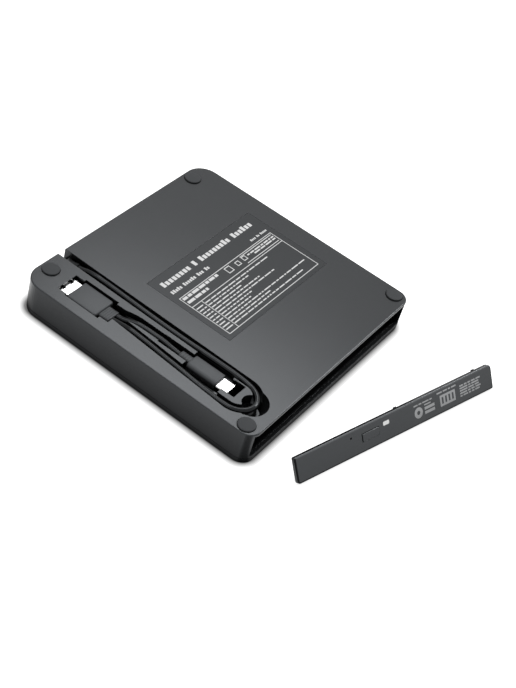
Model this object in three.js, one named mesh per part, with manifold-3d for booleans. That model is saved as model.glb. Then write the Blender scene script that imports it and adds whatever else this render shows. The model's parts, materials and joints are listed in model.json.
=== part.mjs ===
// External enclosure for a slim disc drive, lying on its top cover with the underside up,
// its stored USB lead, and the loose front plate that stands beside it.
// Millimetres, +Z up. The origin is the centre of the face that it lies on; -Y is the drive opening.
import * as THREE from "three";
import { mergeVertices } from "three/addons/utils/BufferGeometryUtils.js";
import Module from "manifold-3d";

const wasm = await Module();
wasm.setup();

// Case
const caseWidth = 146.4;
const caseDepth = 145;
const caseHeight = 20;
const rearCornerRadius = 11;
const frontCornerRadius = 7;
const sideWall = 2;
const frontWall = 1.6;
const plateThickness = 1.4;
const plateEdgeRound = 0.6;
const overrun = 2;

// Straight pieces in an arc, from the front loop to the smallest rounds, round a rod,
// and across a rounded edge
const loopArc = 20;
const largeArc = 12;
const middleArc = 6;
const smallArc = 4;
const tinyArc = 2;
const rodSides = 20;
const footSides = 28;
const loopSides = 48;
const roundSteps = 3;
const edgeSteps = 2;
const chamferSteps = 1;

// Top cover, the lower piece as it lies
const coverHeight = 3;
const coverPlate = 1.8;
const coverEdgeRound = 0.8;
const partingGap = 0.3;
const tongueHeight = 1.5;
const tongueThickness = 1.2;
const tongueClearance = 0.3;
const hookLength = 8;
const hookReach = 0.5;
const hookHeight = 0.8;
const hookCount = 3;
const railWidth = 7;
const railHeight = 1.7;
const railInset = 8;
const railFrontInset = 12;
const railRearInset = 27;
const ribWidth = 1.2;
const ribHeight = 1;
const ribCount = 5;

// Drive opening
const bayJamb = 3.8;
const bayLip = 1.4;
const padWidth = 6;
const padThickness = 1;
const padGap = 0.1;
const padCorner = 2;
const padEdgeRound = 0.25;

// Feet
const footRadius = 4.6;
const footThickness = 1.35;
const footEdgeRound = 0.35;
const footSeatDepth = 0.4;
const footSeatClearance = 0.2;
const footSeatGap = 0.05;
const frontFootSideInset = 5.8;
const frontFootInset = 7.7;
const rearFootSideInset = 15;
const rearFootInset = 6.1;

// Rating label
const labelWidth = 87.7;
const labelDepth = 53.5;
const labelRightInset = 14;
const labelFrontInset = 47;
const labelThickness = 0.15;
const labelSeatDepth = 0.2;
const labelSeatClearance = 0.15;
const labelSeatGap = 0.03;

// Cable well in the underside
const wellWall = 1.2;
const wellFloor = 1.2;
const cableDepth = 3.6;
const loopSideInset = 19.05;
const loopFrontInset = 22.3;
const loopOuterRadius = 12.3;
const islandRadius = 6.85;
const islandRearRise = 7.7;
const laneRightInset = 32.4;
const laneWidth = 5.6;
const throatLeftInset = 11.7;
const throatRightInset = 21.4;
const throatRearInset = 49.5;
const throatDepth = 5.2;
const throatLength = 10;
const ribFootRearInset = 92;
const innerLaneSideInset = 20.5;
const innerLaneWidth = 5.6;
const ribTipSideInset = 16.3;
const ribTipRearInset = 55.5;
const ribBendLength = 9.5;
const scoopRadius = 9.4;
const scoopDrop = 7.1;
const scoopDepth = 6.6;
const scallopRadius = 5.1;
const scallopDrop = 8;
const scallopDepth = 6.2;
const exitDepth = 7.2;
const exitLaneLength = 28;

// USB-A plug and its wells
const plugASideInset = 14.8;
const plugAWellDepth = 7.9;
const plugAWellWidth = 16.4;
const plugAWellRearInset = 22.7;
const plugAWellLength = 21.6;
const tipWellWidth = 13.8;
const tipWellLength = 5.5;
const reliefWellWidth = 13.2;
const tunnelWidth = 13;
const tunnelLength = 7.4;
const tunnelRoofGap = 0.2;
const plugAWidth = 15.2;
const plugAHeight = 7.1;
const plugALength = 18.8;
const plugAFloorGap = 0.2;
const plugAFrontGap = 2.2;
const plugACorner = 1.2;
const plugARound = 0.45;
const plugAReliefWidth = 9.6;
const plugAReliefHeight = 4.4;
const plugAReliefLength = 6;
const plugAReliefTopDrop = 0.5;
const plugAReliefCorner = 1.2;
const plugSocketDepth = 1.6;
const plugSocketClearance = 0.15;
const shellAWidth = 12;
const shellAHeight = 4.5;
const shellAReach = 12;
const shellACorner = 0.5;
const shellAWall = 0.3;
const windowSize = 2.2;
const windowSpacing = 5.6;
const windowDistance = 4.6;
const tongueAWidth = 11;
const tongueAHeight = 1.9;
const tongueASetback = 1.2;

// USB-C plug and its wells
const plugCSideInset = 20.2;
const plugCWellDepth = 5.5;
const plugCWellWidth = 11.4;
const plugCWidth = 9.8;
const plugCHeight = 5.2;
const plugCLength = 18.2;
const plugCFrontInset = 33.9;
const plugCFloorGap = 0.2;
const plugCCorner = 2.2;
const plugCRound = 0.5;
const plugCReliefWidth = 5.2;
const plugCReliefHeight = 4.2;
const plugCReliefLength = 6.6;
const plugCReliefCorner = 1.4;
const reliefNotchWidth = 6.6;
const reliefNotchLength = 18;
const shellCWidth = 8.25;
const shellCHeight = 2.4;
const shellCReach = 6.7;
const shellCWall = 0.3;
const slotWidth = 9.8;
const slotDepth = 7.9;
const slotEndInset = 22.5;

// Lead
const cordDiameter = 3.4;
const cordSides = 10;
const tetherSides = 8;
const mainCordSteps = 60;
const tetherCordSteps = 16;
const innerCordSteps = 8;

// Grommet where the lead enters the case
const exitRearInset = 5.3;
const exitHeight = 15.3;
const exitSlope = 0.19;
const grommetRadius = 2.2;
const grommetHoleClearance = 0.3;
const grommetBendRadius = 3.6;
const grommetLaneOffset = 2.8;
const grommetLegLength = 3.2;
const grommetInnerReach = 3.6;
const innerLeadGap = 0.3;
const innerLeadBend = 4.6;
const grommetCollarRadius = 3.1;
const grommetCollarThickness = 1.2;
const grommetSides = 12;
const grommetSteps = 14;

// Bridge board and what is on it
const boardLength = 62;
const boardWidth = 12.8;
const boardThickness = 1.2;
const boardLaneGap = 14.8;
const boardCorner = 0.6;
const boardHeight = 7.5;
const boardRearInset = 1.4;
const partSeat = 0.1;
const partEdgeGap = 0.2;
const bossRadius = 2.6;
const bossHoleRadius = 1.3;
const bossHoleDepth = 6;
const bossSeat = 0.3;
const bossRearInset = 6;
const bossLeftInset = 11.4;
const bossRightInset = 4.4;
const screwRadius = 1;
const screwHeadRadius = 2;
const screwHeadHeight = 1.2;
const screwLength = 6;
const crossLength = 2.4;
const slotDriveWidth = 0.5;
const slotDriveDepth = 0.6;
const receptacleWidth = 33;
const receptacleHeight = 4.8;
const receptacleLength = 6.4;
const receptacleOverhang = 1.2;
const signalSlotWidth = 9;
const powerSlotWidth = 11;
const contactSlotHeight = 1.6;
const contactSlotDepth = 4.4;
const contactSlotGap = 3.4;
const guideSlotWidth = 1.6;
const guideSlotHeight = 3;
const contactCount = 13;
const contactPitch = 2;
const contactWidth = 0.7;
const contactLength = 1.8;
const contactHeight = 0.4;
const contactBarWidth = 0.6;
const contactSeat = 0.15;
const chipSize = 7;
const chipHeight = 1.1;
const chipBevel = 0.2;
const crystalLength = 10.6;
const crystalGap = 1.6;
const crystalWidth = 4.4;
const crystalHeight = 3.4;
const crystalFlange = 0.4;
const crystalFlangeHeight = 0.6;
const capacitorRadius = 2.5;
const capacitorCanRadius = 2.4;
const capacitorHeight = 5.6;
const capacitorBaseHeight = 1;
const capacitorSpacing = 6;
const inductorSize = 5;
const inductorHeight = 2.6;
const inductorCorner = 1.2;
const headerWidth = 8.6;
const headerLength = 5.6;
const headerHeight = 4.2;
const headerWall = 0.8;
const headerDepth = 3.4;
const headerInset = 2.8;
const headerClearance = 0.15;
const wirePlugProud = 3;

// Loose front plate
const faceLength = 137.6;
const faceHeight = 13.7;
const faceDepth = 2.2;
const facePanel = 1.4;
const faceRim = 1;
const faceX = -62.9;
const faceY = -97.75;
const faceYaw = THREE.MathUtils.degToRad(-15.24);
const faceLean = THREE.MathUtils.degToRad(34.38);
const faceLowLeftRadius = 1.6;
const faceHighLeftRadius = 0.6;
const faceHighRightRadius = 2.6;
const faceLowRightRadius = 0.9;
const faceEdgeRound = 0.3;
const buttonX = 43.4;
const buttonY = 5.3;
const buttonWidth = 11.1;
const buttonHeight = 4.1;
const buttonGapLeft = 0.6;
const buttonGapTop = 0.35;
const buttonGap = 0.15;
const buttonCorner = 0.3;
const buttonRound = 0.15;
const buttonProud = 0.1;
const buttonTravel = 0.8;
const buttonFlange = 0.9;
const buttonFlangeThickness = 0.8;
const buttonFlangeGap = 0.15;
const buttonNubRadius = 1;
const buttonNubLength = 0.6;
const springWidth = 5.2;
const springThickness = 0.4;
const springCorner = 1.3;
const springLength = 17.5;
const springPostRadius = 1.1;
const springFootRadius = 2.2;
const springHoleClearance = 0.25;
const springSeatGap = 0.15;
const springPostTip = 0.7;
const pinholeX = 35.9;
const pinholeY = 10;
const pinholeRadius = 0.6;
const windowX = 57.6;
const windowY = 8.4;
const windowWidth = 4.2;
const windowHeight = 2.1;
const windowCorner = 0.5;
const windowGap = 0.1;
const windowFlange = 0.6;
const windowFlangeThickness = 0.6;
const windowBackGap = 0.1;
const clipRise = 4;
const clipWidth = 5;
const clipThickness = 1.2;
const clipBarb = 0.7;
const clipBarbLength = 1.4;
const clipEndInset = 6;
const hookTabWidth = 2;
const hookTabLength = 1.2;
const hookTabThickness = 1.3;
const hookTabProud = 0.25;
const hookTabEndInset = 11.6;
const stiffenerWidth = 0.9;
const stiffenerCount = 6;

// Where the case's faces and inner levels lie
const leftX = -caseWidth / 2;
const rightX = caseWidth / 2;
const frontY = -caseDepth / 2;
const rearY = caseDepth / 2;
const shellLow = coverHeight + partingGap;
const plateUnder = caseHeight - plateThickness;
const bayFloor = shellLow + bayLip;
const loopX = leftX + loopSideInset;
const loopY = frontY + loopFrontInset;
const laneRightX = leftX + laneRightInset;
const laneLeftX = laneRightX - laneWidth;
const throatY = rearY - throatRearInset;
const throatLeftX = leftX + throatLeftInset;
const throatRightX = leftX + throatRightInset;
const islandRearY = loopY + islandRearRise;
const ribFootY = rearY - ribFootRearInset;
const innerLaneX = leftX + innerLaneSideInset;
const exitY = rearY - exitRearInset;
const plugAX = leftX + plugASideInset;
const plugAWellRearY = rearY - plugAWellRearInset;
const plugAWellFrontY = plugAWellRearY - plugAWellLength;
const tipWellRearY = plugAWellRearY + tipWellLength;
const plugALow = caseHeight - plugAWellDepth + plugAFloorGap;
const plugAMid = plugALow + plugAHeight / 2;
const plugAFrontY = plugAWellFrontY + plugAFrontGap;
const plugARearY = plugAFrontY + plugALength;
const plugCX = leftX + plugCSideInset;
const plugCFrontY = frontY + plugCFrontInset;
const plugCRearY = plugCFrontY + plugCLength;
const plugCLow = caseHeight - plugCWellDepth + plugCFloorGap;
const plugCMid = plugCLow + plugCHeight / 2;
const boardTop = boardHeight + boardThickness;
const boardRearY = rearY - sideWall - boardRearInset;
const boardFrontY = boardRearY - boardWidth;
const boardLeftX = laneRightX + boardLaneGap;
const boardRightX = boardLeftX + boardLength;
const boardMiddleX = boardLeftX + boardLength / 2;
const partLow = boardTop + partSeat;
const partHigh = boardHeight - partSeat;
const headerMiddleY = boardRearY - boardWidth / 2 + headerWall;

// The lead's route in its groove, chosen by hand: out of the grommet, along the right lane,
// round the front loop, back along the left lane and into the USB-A plug.
const mainRoute = [
  [-43.6, 60.05, 16.66],
  [-43.6, 57.5, 17.15],
  [-43.4, 54.5, 17.8],
  [-43.1, 50, 18.15],
  [-43, 44.5, 18.15],
  [-43.15, 36, 18.15],
  [-43.6, 22.5, 18.15],
  [-44, 7.5, 18.15],
  [-44.1, -7.5, 18.15],
  [-43.8, -21.5, 18.15],
  [-43.6, -33, 18.15],
  [-43.7, -41.5, 18.15],
  [-44.2, -48, 18.15],
  [-45.6, -53.5, 18.15],
  [-48.1, -57.3, 18.15],
  [-52, -59.6, 18.15],
  [-56.3, -59.6, 18.15],
  [-60.2, -57.4, 18.15],
  [-62.7, -53.6, 18.15],
  [-63.6, -48, 18.15],
  [-63.4, -40, 18.15],
  [-62.8, -30, 18.15],
  [-61.7, -20, 18.15],
  [-60.9, -10, 18.15],
  [-60, 0, 18.15],
  [-59.5, 8.5, 18.15],
  [-59.35, 13.5, 18.12],
  [-59.35, 19, 17.45],
  [-59.6, 24.1, 17],
];
const tetherRoute = [
  [-55.8, 24.1, 17],
  [-55.6, 21, 17.15],
  [-54.7, 17.5, 17.6],
  [-53.6, 13.2, 18.17],
  [-53, 8, 18.2],
  [-52.9, 2.5, 18.2],
  [-52.85, -3, 18.15],
  [-52.95, -8.5, 17.65],
  [-53, -13.5, 17.3],
];

// A closed geometry as a solid that can be joined and cut.
function solidOf(geometry) {
  const bare = geometry.clone();
  bare.deleteAttribute("normal");
  bare.deleteAttribute("uv");
  const merged = mergeVertices(bare);
  return new wasm.Manifold(
    new wasm.Mesh({
      numProp: 3,
      vertProperties: merged.attributes.position.array,
      triVerts: new Uint32Array(merged.index.array),
    }),
  );
}

// A solid as a three.js geometry with flat faces.
function geometryOf(solid) {
  const mesh = solid.getMesh();
  const geometry = new THREE.BufferGeometry();
  geometry.setAttribute("position", new THREE.BufferAttribute(mesh.vertProperties, mesh.numProp));
  geometry.setIndex(new THREE.BufferAttribute(mesh.triVerts, 1));
  const flat = geometry.toNonIndexed();
  flat.computeVertexNormals();
  return flat;
}

// An outline stood up between two levels.
function prism(outline, low, high, quarter = middleArc) {
  const geometry = new THREE.ExtrudeGeometry(outline, {
    depth: high - low,
    bevelEnabled: false,
    curveSegments: quarter / 2,
  });
  return solidOf(geometry.translate(0, 0, low));
}

// The same with its top and bottom edges rounded inside the outline.
function roundedPrism(outline, low, high, round, quarter = middleArc, bevelSegments = roundSteps) {
  const geometry = new THREE.ExtrudeGeometry(outline, {
    depth: high - low - 2 * round,
    bevelThickness: round,
    bevelSize: round,
    bevelOffset: -round,
    bevelSegments,
    curveSegments: quarter / 2,
  });
  return solidOf(geometry.translate(0, 0, low + round));
}

// A section in X and Z drawn out along Y, with its end edges rounded.
function bar(section, front, rear, round = 0, quarter = smallArc) {
  const geometry = new THREE.ExtrudeGeometry(section, {
    depth: rear - front - 2 * round,
    bevelEnabled: round > 0,
    bevelThickness: round,
    bevelSize: round,
    bevelOffset: -round,
    bevelSegments: edgeSteps,
    curveSegments: quarter / 2,
  });
  return solidOf(geometry.rotateX(Math.PI / 2).translate(0, rear - round, 0));
}

// A block between two corners.
function block(low, high) {
  const size = high.map((value, axis) => value - low[axis]);
  const middle = high.map((value, axis) => (value + low[axis]) / 2);
  return solidOf(new THREE.BoxGeometry(...size).translate(...middle));
}

// A round rod between two levels.
function rod(x, y, low, high, radius, sides = rodSides) {
  const geometry = new THREE.CylinderGeometry(radius, radius, high - low, sides);
  return solidOf(geometry.rotateX(Math.PI / 2).translate(x, y, (low + high) / 2));
}

// A rectangle round a centre, with one radius at all four corners.
function rectangle(x, y, width, height, radius = 0) {
  return fourRadiusRectangle(x - width / 2, y - height / 2, width, height, [radius, radius, radius, radius]);
}

// A rectangle from its low left corner, with a radius for the low left, low right,
// high right and high left corners.
function fourRadiusRectangle(x, y, width, height, [lowLeft, lowRight, highRight, highLeft]) {
  const shape = new THREE.Shape();
  shape.moveTo(x + lowLeft, y);
  shape.lineTo(x + width - lowRight, y);
  if (lowRight) shape.absarc(x + width - lowRight, y + lowRight, lowRight, -Math.PI / 2, 0);
  shape.lineTo(x + width, y + height - highRight);
  if (highRight) shape.absarc(x + width - highRight, y + height - highRight, highRight, 0, Math.PI / 2);
  shape.lineTo(x + highLeft, y + height);
  if (highLeft) shape.absarc(x + highLeft, y + height - highLeft, highLeft, Math.PI / 2, Math.PI);
  shape.lineTo(x, y + lowLeft);
  if (lowLeft) shape.absarc(x + lowLeft, y + lowLeft, lowLeft, Math.PI, (3 * Math.PI) / 2);
  return shape;
}

// A disc outline.
function disc(x, y, radius) {
  const shape = new THREE.Shape();
  for (let quarter = 0; quarter < 4; quarter++) {
    shape.absarc(x, y, radius, (quarter * Math.PI) / 2, ((quarter + 1) * Math.PI) / 2);
  }
  return shape;
}

// A closed outline through corner points.
function polygon(points) {
  return new THREE.Shape(points.map(([x, y]) => new THREE.Vector2(x, y)));
}

// A smooth curve through a list of points.
function through(route) {
  return new THREE.CatmullRomCurve3(route.map((point) => new THREE.Vector3(...point)));
}

// A round tube along a curve.
function tube(path, radius, sides, steps) {
  const section = new THREE.Shape().absarc(0, 0, radius, 0, 2 * Math.PI);
  return new THREE.ExtrudeGeometry(section, { steps, extrudePath: path, curveSegments: sides / 2 });
}

// Several solids joined.
function joined(solids) {
  return solids.reduce((whole, solid) => whole.add(solid));
}

// The case outline, drawn in by the same amount all round.
function caseOutline(side, front, rear) {
  const radius = (corner, inset) => Math.max(corner - inset, plateEdgeRound);
  const high = radius(rearCornerRadius, rear);
  const low = radius(frontCornerRadius, side);
  return fourRadiusRectangle(
    leftX + side,
    frontY + front,
    caseWidth - 2 * side,
    caseDepth - front - rear,
    [low, low, high, high],
  );
}

// The right lane's left wall leans from the rear notch to the island.
function laneLeftAt(y) {
  return THREE.MathUtils.mapLinear(y, loopY, rearY, loopX + islandRadius, laneLeftX);
}

function laneRightAt(y) {
  return THREE.MathUtils.mapLinear(y, loopY, rearY, loopX + loopOuterRadius, laneRightX);
}

// The left lane's outer wall leans from the loop to the throat.
function leftLaneOuterAt(y) {
  return THREE.MathUtils.mapLinear(y, loopY, throatY, loopX - loopOuterRadius, throatLeftX);
}

// The left lane's inner wall leans from the island to the rib's tip.
function leftLaneInnerAt(y) {
  const tipX = leftX + ribTipSideInset;
  return THREE.MathUtils.mapLinear(y, islandRearY, rearY - ribTipRearInset, loopX - islandRadius, tipX);
}

// The cable well's outer outline: the left lane, the front loop and the right lane,
// which runs out through the rear edge.
function wellOutline(grow) {
  const shape = new THREE.Shape();
  shape.moveTo(laneRightAt(rearY + overrun) + grow, rearY + overrun);
  shape.lineTo(laneLeftAt(rearY + overrun) - grow, rearY + overrun);
  shape.lineTo(laneLeftAt(throatY) - grow, throatY + grow);
  shape.lineTo(throatLeftX - grow, throatY + grow);
  shape.lineTo(loopX - loopOuterRadius - grow, loopY);
  shape.absarc(loopX, loopY, loopOuterRadius + grow, Math.PI, 2 * Math.PI);
  return shape;
}

// The slender rib between the left lane and the inner lane, pointed towards the USB-A plug.
function middleRibOutline() {
  const tipX = leftX + ribTipSideInset;
  const tipY = rearY - ribTipRearInset;
  const edge = innerLaneX - innerLaneWidth / 2;
  const shape = new THREE.Shape();
  shape.moveTo(leftLaneInnerAt(ribFootY), ribFootY);
  shape.lineTo(edge, ribFootY);
  shape.lineTo(edge, tipY - ribBendLength);
  shape.quadraticCurveTo(edge, tipY - ribBendLength / 3, tipX, tipY);
  return shape;
}

// The rib between the inner lane and the right lane, which widens into the plate.
function laneRibOutline() {
  const edge = innerLaneX + innerLaneWidth / 2;
  const bendY = throatY - throatLength;
  const shape = new THREE.Shape();
  shape.moveTo(edge, ribFootY);
  shape.lineTo(laneLeftAt(ribFootY), ribFootY);
  shape.lineTo(laneLeftAt(throatY + overrun), throatY + overrun);
  shape.lineTo(throatRightX, throatY + overrun);
  shape.lineTo(throatRightX, throatY);
  shape.quadraticCurveTo(edge, bendY + throatLength / 3, edge, bendY);
  return shape;
}

// The U-shaped island that parks the USB-C tip.
function islandOutline() {
  const shape = new THREE.Shape();
  shape.moveTo(loopX + islandRadius, islandRearY);
  shape.lineTo(loopX - islandRadius, islandRearY);
  shape.lineTo(loopX - islandRadius, loopY);
  shape.absarc(loopX, loopY, islandRadius, Math.PI, 2 * Math.PI);
  return shape;
}

// The finger scoop, a bowl under the front loop, which can grow by the wall's thickness.
function scoopBowl(grow) {
  const edge = new THREE.Path();
  edge.absellipse(0, 0, scoopRadius + grow, scoopDepth + grow, -Math.PI / 2, 0);
  edge.lineTo(scoopRadius + grow, overrun);
  edge.lineTo(0, overrun);
  const bowl = new THREE.LatheGeometry(edge.getPoints(middleArc), loopSides).rotateX(Math.PI / 2);
  return solidOf(bowl.translate(loopX, loopY - scoopDrop, caseHeight));
}

// The wells sunk in the plate, each an outline that can grow by the wall's thickness, and a depth.
// The first is the throat, which the ribs stand in.
function wells() {
  const exitFrontY = rearY - exitLaneLength;
  const box = (x, width, front, rear) => (grow) =>
    polygon([
      [x - width / 2 - grow, front - grow],
      [x + width / 2 + grow, front - grow],
      [x + width / 2 + grow, rear + grow],
      [x - width / 2 - grow, rear + grow],
    ]);
  return [
    {
      depth: throatDepth,
      outline: (grow) =>
        polygon([
          [throatLeftX - grow, throatY + grow],
          [leftLaneOuterAt(throatY - throatLength) - grow, throatY - throatLength - grow],
          [innerLaneX + innerLaneWidth / 2 + grow, throatY - throatLength - grow],
          [throatRightX + grow, throatY + grow],
        ]),
    },
    {
      depth: exitDepth,
      outline: (grow) =>
        polygon([
          [laneLeftAt(exitFrontY) - grow, exitFrontY - grow],
          [laneRightAt(exitFrontY) + grow, exitFrontY - grow],
          [laneRightAt(rearY + overrun) + grow, rearY + overrun],
          [laneLeftAt(rearY + overrun) - grow, rearY + overrun],
        ]),
    },
    { depth: plugAWellDepth, outline: box(plugAX, plugAWellWidth, plugAWellFrontY, plugAWellRearY) },
    { depth: plugAWellDepth, outline: box(plugAX, tipWellWidth, plugAWellFrontY, tipWellRearY) },
    { depth: plugAWellDepth, outline: box(plugAX, reliefWellWidth, throatY, plugAWellFrontY) },
    { depth: plugCWellDepth, outline: box(plugCX, plugCWellWidth, islandRearY, ribFootY) },
    { depth: plugCWellDepth, outline: box(plugCX, reliefNotchWidth, ribFootY, ribFootY + reliefNotchLength) },
    { depth: slotDepth, outline: box(plugCX, slotWidth, frontY + slotEndInset, islandRearY) },
    { depth: scallopDepth, outline: (grow) => disc(loopX, loopY - scallopDrop, scallopRadius + grow) },
  ];
}

// Where the four feet sit.
function footPlaces() {
  const frontSide = frontFootSideInset;
  const rearSide = rearFootSideInset;
  return {
    foot_front_left: [leftX + frontSide, frontY + frontFootInset],
    foot_front_right: [rightX - frontSide, frontY + frontFootInset],
    foot_rear_left: [leftX + rearSide, rearY - rearFootInset],
    foot_rear_right: [rightX - rearSide, rearY - rearFootInset],
  };
}

// Where the board's two screws go.
function screwPlaces() {
  const y = rearY - sideWall - bossRearInset;
  return [
    [boardLeftX + bossLeftInset, y],
    [boardRightX - bossRightInset, y],
  ];
}

// The walls and roof of the case before its wells are cut.
function openBox() {
  const outer = roundedPrism(
    caseOutline(0, 0, 0),
    shellLow - plateEdgeRound - overrun,
    caseHeight,
    plateEdgeRound,
    largeArc,
  );
  const below = block(
    [leftX - overrun, frontY - overrun, -overrun],
    [rightX + overrun, rearY + overrun, shellLow],
  );
  const hollow = prism(caseOutline(sideWall, frontWall, sideWall), 0, plateUnder, largeArc);
  const mouth = block(
    [leftX + bayJamb, frontY - overrun, bayFloor],
    [rightX - bayJamb, frontY + frontWall + overrun, plateUnder],
  );
  return { outer: outer.subtract(below), hollow: hollow.add(mouth) };
}

// The moulded underside: plate, walls, drive opening and the stepped cable well with its ribs.
function bottomShell() {
  const { outer, hollow } = openBox();
  const roof = plateUnder + plateThickness / 2;
  const top = caseHeight + overrun;
  const floorOf = (depth) => caseHeight - depth;

  const skirts = wells().map((well) => prism(well.outline(wellWall), floorOf(well.depth) - wellFloor, roof));
  skirts.push(prism(wellOutline(wellWall), floorOf(cableDepth) - wellFloor, roof, loopArc));
  skirts.push(scoopBowl(wellWall));
  const tunnelRearY = tipWellRearY + tunnelLength;
  const tunnelLow = floorOf(plugAWellDepth);
  skirts.push(
    block(
      [plugAX - tunnelWidth / 2 - wellWall, plugAWellRearY, tunnelLow - wellFloor],
      [plugAX + tunnelWidth / 2 + wellWall, tunnelRearY + wellWall, roof],
    ),
  );
  const bosses = screwPlaces().map(([x, y]) =>
    rod(x, y, boardHeight + boardThickness + bossSeat, roof, bossRadius),
  );

  const islands = joined([
    prism(middleRibOutline(), 0, top),
    prism(laneRibOutline(), 0, top),
    prism(islandOutline(), 0, top, loopArc),
  ]);
  const lanes = prism(wellOutline(0), floorOf(cableDepth), top, loopArc);
  const cableCut = lanes.add(scoopBowl(0)).subtract(islands);
  const [throat, ...deepWells] = wells();
  const throatCut = prism(throat.outline(0), floorOf(throatDepth), top).subtract(islands);
  const deepCuts = deepWells.map((well) => prism(well.outline(0), floorOf(well.depth), top));
  const tunnel = block(
    [plugAX - tunnelWidth / 2, plugAWellRearY, tunnelLow],
    [plugAX + tunnelWidth / 2, tunnelRearY, plateUnder - tunnelRoofGap],
  );
  const exitHole = solidOf(
    new THREE.CylinderGeometry(
      grommetRadius + grommetHoleClearance,
      grommetRadius + grommetHoleClearance,
      2 * (wellWall + overrun),
      grommetSides,
    )
      .rotateZ(Math.PI / 2)
      .translate(laneRightX, exitY, exitHeight),
  );
  const screwHoles = screwPlaces().map(([x, y]) =>
    rod(x, y, 0, boardHeight + boardThickness + bossSeat + bossHoleDepth, bossHoleRadius),
  );

  const footSeats = Object.values(footPlaces()).map(([x, y]) =>
    prism(disc(x, y, footRadius + footSeatClearance), caseHeight - footSeatDepth, top),
  );
  const seat = labelPlace();
  const labelSeat = prism(
    rectangle(seat.x, seat.y, labelWidth + 2 * labelSeatClearance, labelDepth + 2 * labelSeatClearance),
    caseHeight - labelSeatDepth,
    top,
  );
  return outer
    .subtract(hollow)
    .add(joined([...skirts, ...bosses]).intersect(outer))
    .subtract(joined([cableCut, throatCut, ...deepCuts, tunnel, exitHole]))
    .subtract(joined([...screwHoles, ...footSeats, labelSeat]))
    .subtract(hookSeats());
}

// The label's middle on the plate.
function labelPlace() {
  return {
    x: rightX - labelRightInset - labelWidth / 2,
    y: frontY + labelFrontInset + labelDepth / 2,
  };
}

// Places along each side wall where the cover's hooks snap in.
function hookPlaces() {
  const spacing = caseDepth / (hookCount + 1);
  return Array.from({ length: hookCount }, (unused, index) => frontY + spacing * (index + 1));
}

// The grooves in the side walls that take the cover's hooks.
function hookSeats() {
  const low = coverHeight + tongueHeight - hookHeight - partingGap;
  const high = coverHeight + tongueHeight + partingGap;
  const reach = hookReach + partingGap;
  const seats = hookPlaces().flatMap((y) =>
    [
      [leftX + sideWall - reach, leftX + sideWall + overrun],
      [rightX - sideWall - overrun, rightX - sideWall + reach],
    ].map(([left, right]) =>
      block([left, y - hookLength / 2 - partingGap, low], [right, y + hookLength / 2 + partingGap, high]),
    ),
  );
  return joined(seats);
}

// The cover's hooks, wedges on the outside of its tongue.
function coverHooks() {
  const inner = sideWall + tongueClearance;
  const low = coverHeight + tongueHeight - hookHeight;
  const high = coverHeight + tongueHeight;
  const root = leftX + inner + tongueThickness / 2;
  const tip = leftX + inner - tongueClearance - hookReach;
  const leftWedge = polygon([
    [root, low - partingGap],
    [tip, low + partingGap / 2],
    [root, high],
  ]);
  const rightWedge = polygon([
    [-root, high],
    [-tip, low + partingGap / 2],
    [-root, low - partingGap],
  ]);
  return hookPlaces().flatMap((y) =>
    [leftWedge, rightWedge].map((wedge) => bar(wedge, y - hookLength / 2, y + hookLength / 2)),
  );
}

// The top cover: a shallow tray with a tongue inside the walls, ribs and the drive's rails.
function topCover() {
  const outer = roundedPrism(
    caseOutline(0, 0, 0),
    0,
    coverHeight + coverEdgeRound + overrun,
    coverEdgeRound,
    largeArc,
  );
  const above = block(
    [leftX - overrun, frontY - overrun, coverHeight],
    [rightX + overrun, rearY + overrun, coverHeight + coverEdgeRound + 2 * overrun],
  );
  const inset = sideWall + tongueClearance;
  const frontInset = frontWall + tongueClearance;
  const tongueTop = coverHeight + tongueHeight;
  const tongue = prism(caseOutline(inset, frontInset, inset), coverPlate, tongueTop, largeArc);
  const hollow = prism(
    caseOutline(inset + tongueThickness, frontInset + tongueThickness, inset + tongueThickness),
    coverPlate,
    tongueTop + overrun,
    largeArc,
  );
  const inner = caseWidth / 2 - inset - tongueThickness;
  const crossSpacing = (caseDepth - 2 * inset) / (ribCount + 1);
  const crossRibs = Array.from({ length: ribCount }, (unused, index) => {
    const y = frontY + inset + crossSpacing * (index + 1);
    return block([-inner, y - ribWidth / 2, coverPlate], [inner, y + ribWidth / 2, coverPlate + ribHeight]);
  });
  const rails = railPlaces().map((x) =>
    block(
      [x - railWidth / 2, frontY + railFrontInset, coverPlate],
      [x + railWidth / 2, rearY - railRearInset, coverPlate + railHeight],
    ),
  );
  return outer
    .subtract(above)
    .add(tongue)
    .subtract(hollow)
    .add(joined([...crossRibs, ...rails, ...coverHooks()]));
}

// The two rails that the drive lies on.
function railPlaces() {
  return [leftX + bayJamb + railInset, rightX - bayJamb - railInset];
}

// A soft pad on a rail.
function drivePad(x) {
  const low = coverPlate + railHeight + padGap;
  const middle = (frontY + railFrontInset + rearY - railRearInset) / 2;
  const length = caseDepth - railFrontInset - railRearInset - railWidth;
  const outline = rectangle(x, middle, padWidth, length, padCorner);
  return roundedPrism(outline, low, low + padThickness, padEdgeRound, smallArc, chamferSteps);
}

// A round foot with a soft edge, turned about its own axis.
function foot() {
  const edge = new THREE.Path();
  edge.moveTo(0, 0);
  edge.lineTo(footRadius, 0);
  edge.lineTo(footRadius, footThickness - footEdgeRound);
  edge.absarc(footRadius - footEdgeRound, footThickness - footEdgeRound, footEdgeRound, 0, Math.PI / 2);
  edge.lineTo(0, footThickness);
  return new THREE.LatheGeometry(edge.getPoints(tinyArc), footSides).rotateX(Math.PI / 2);
}

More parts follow.
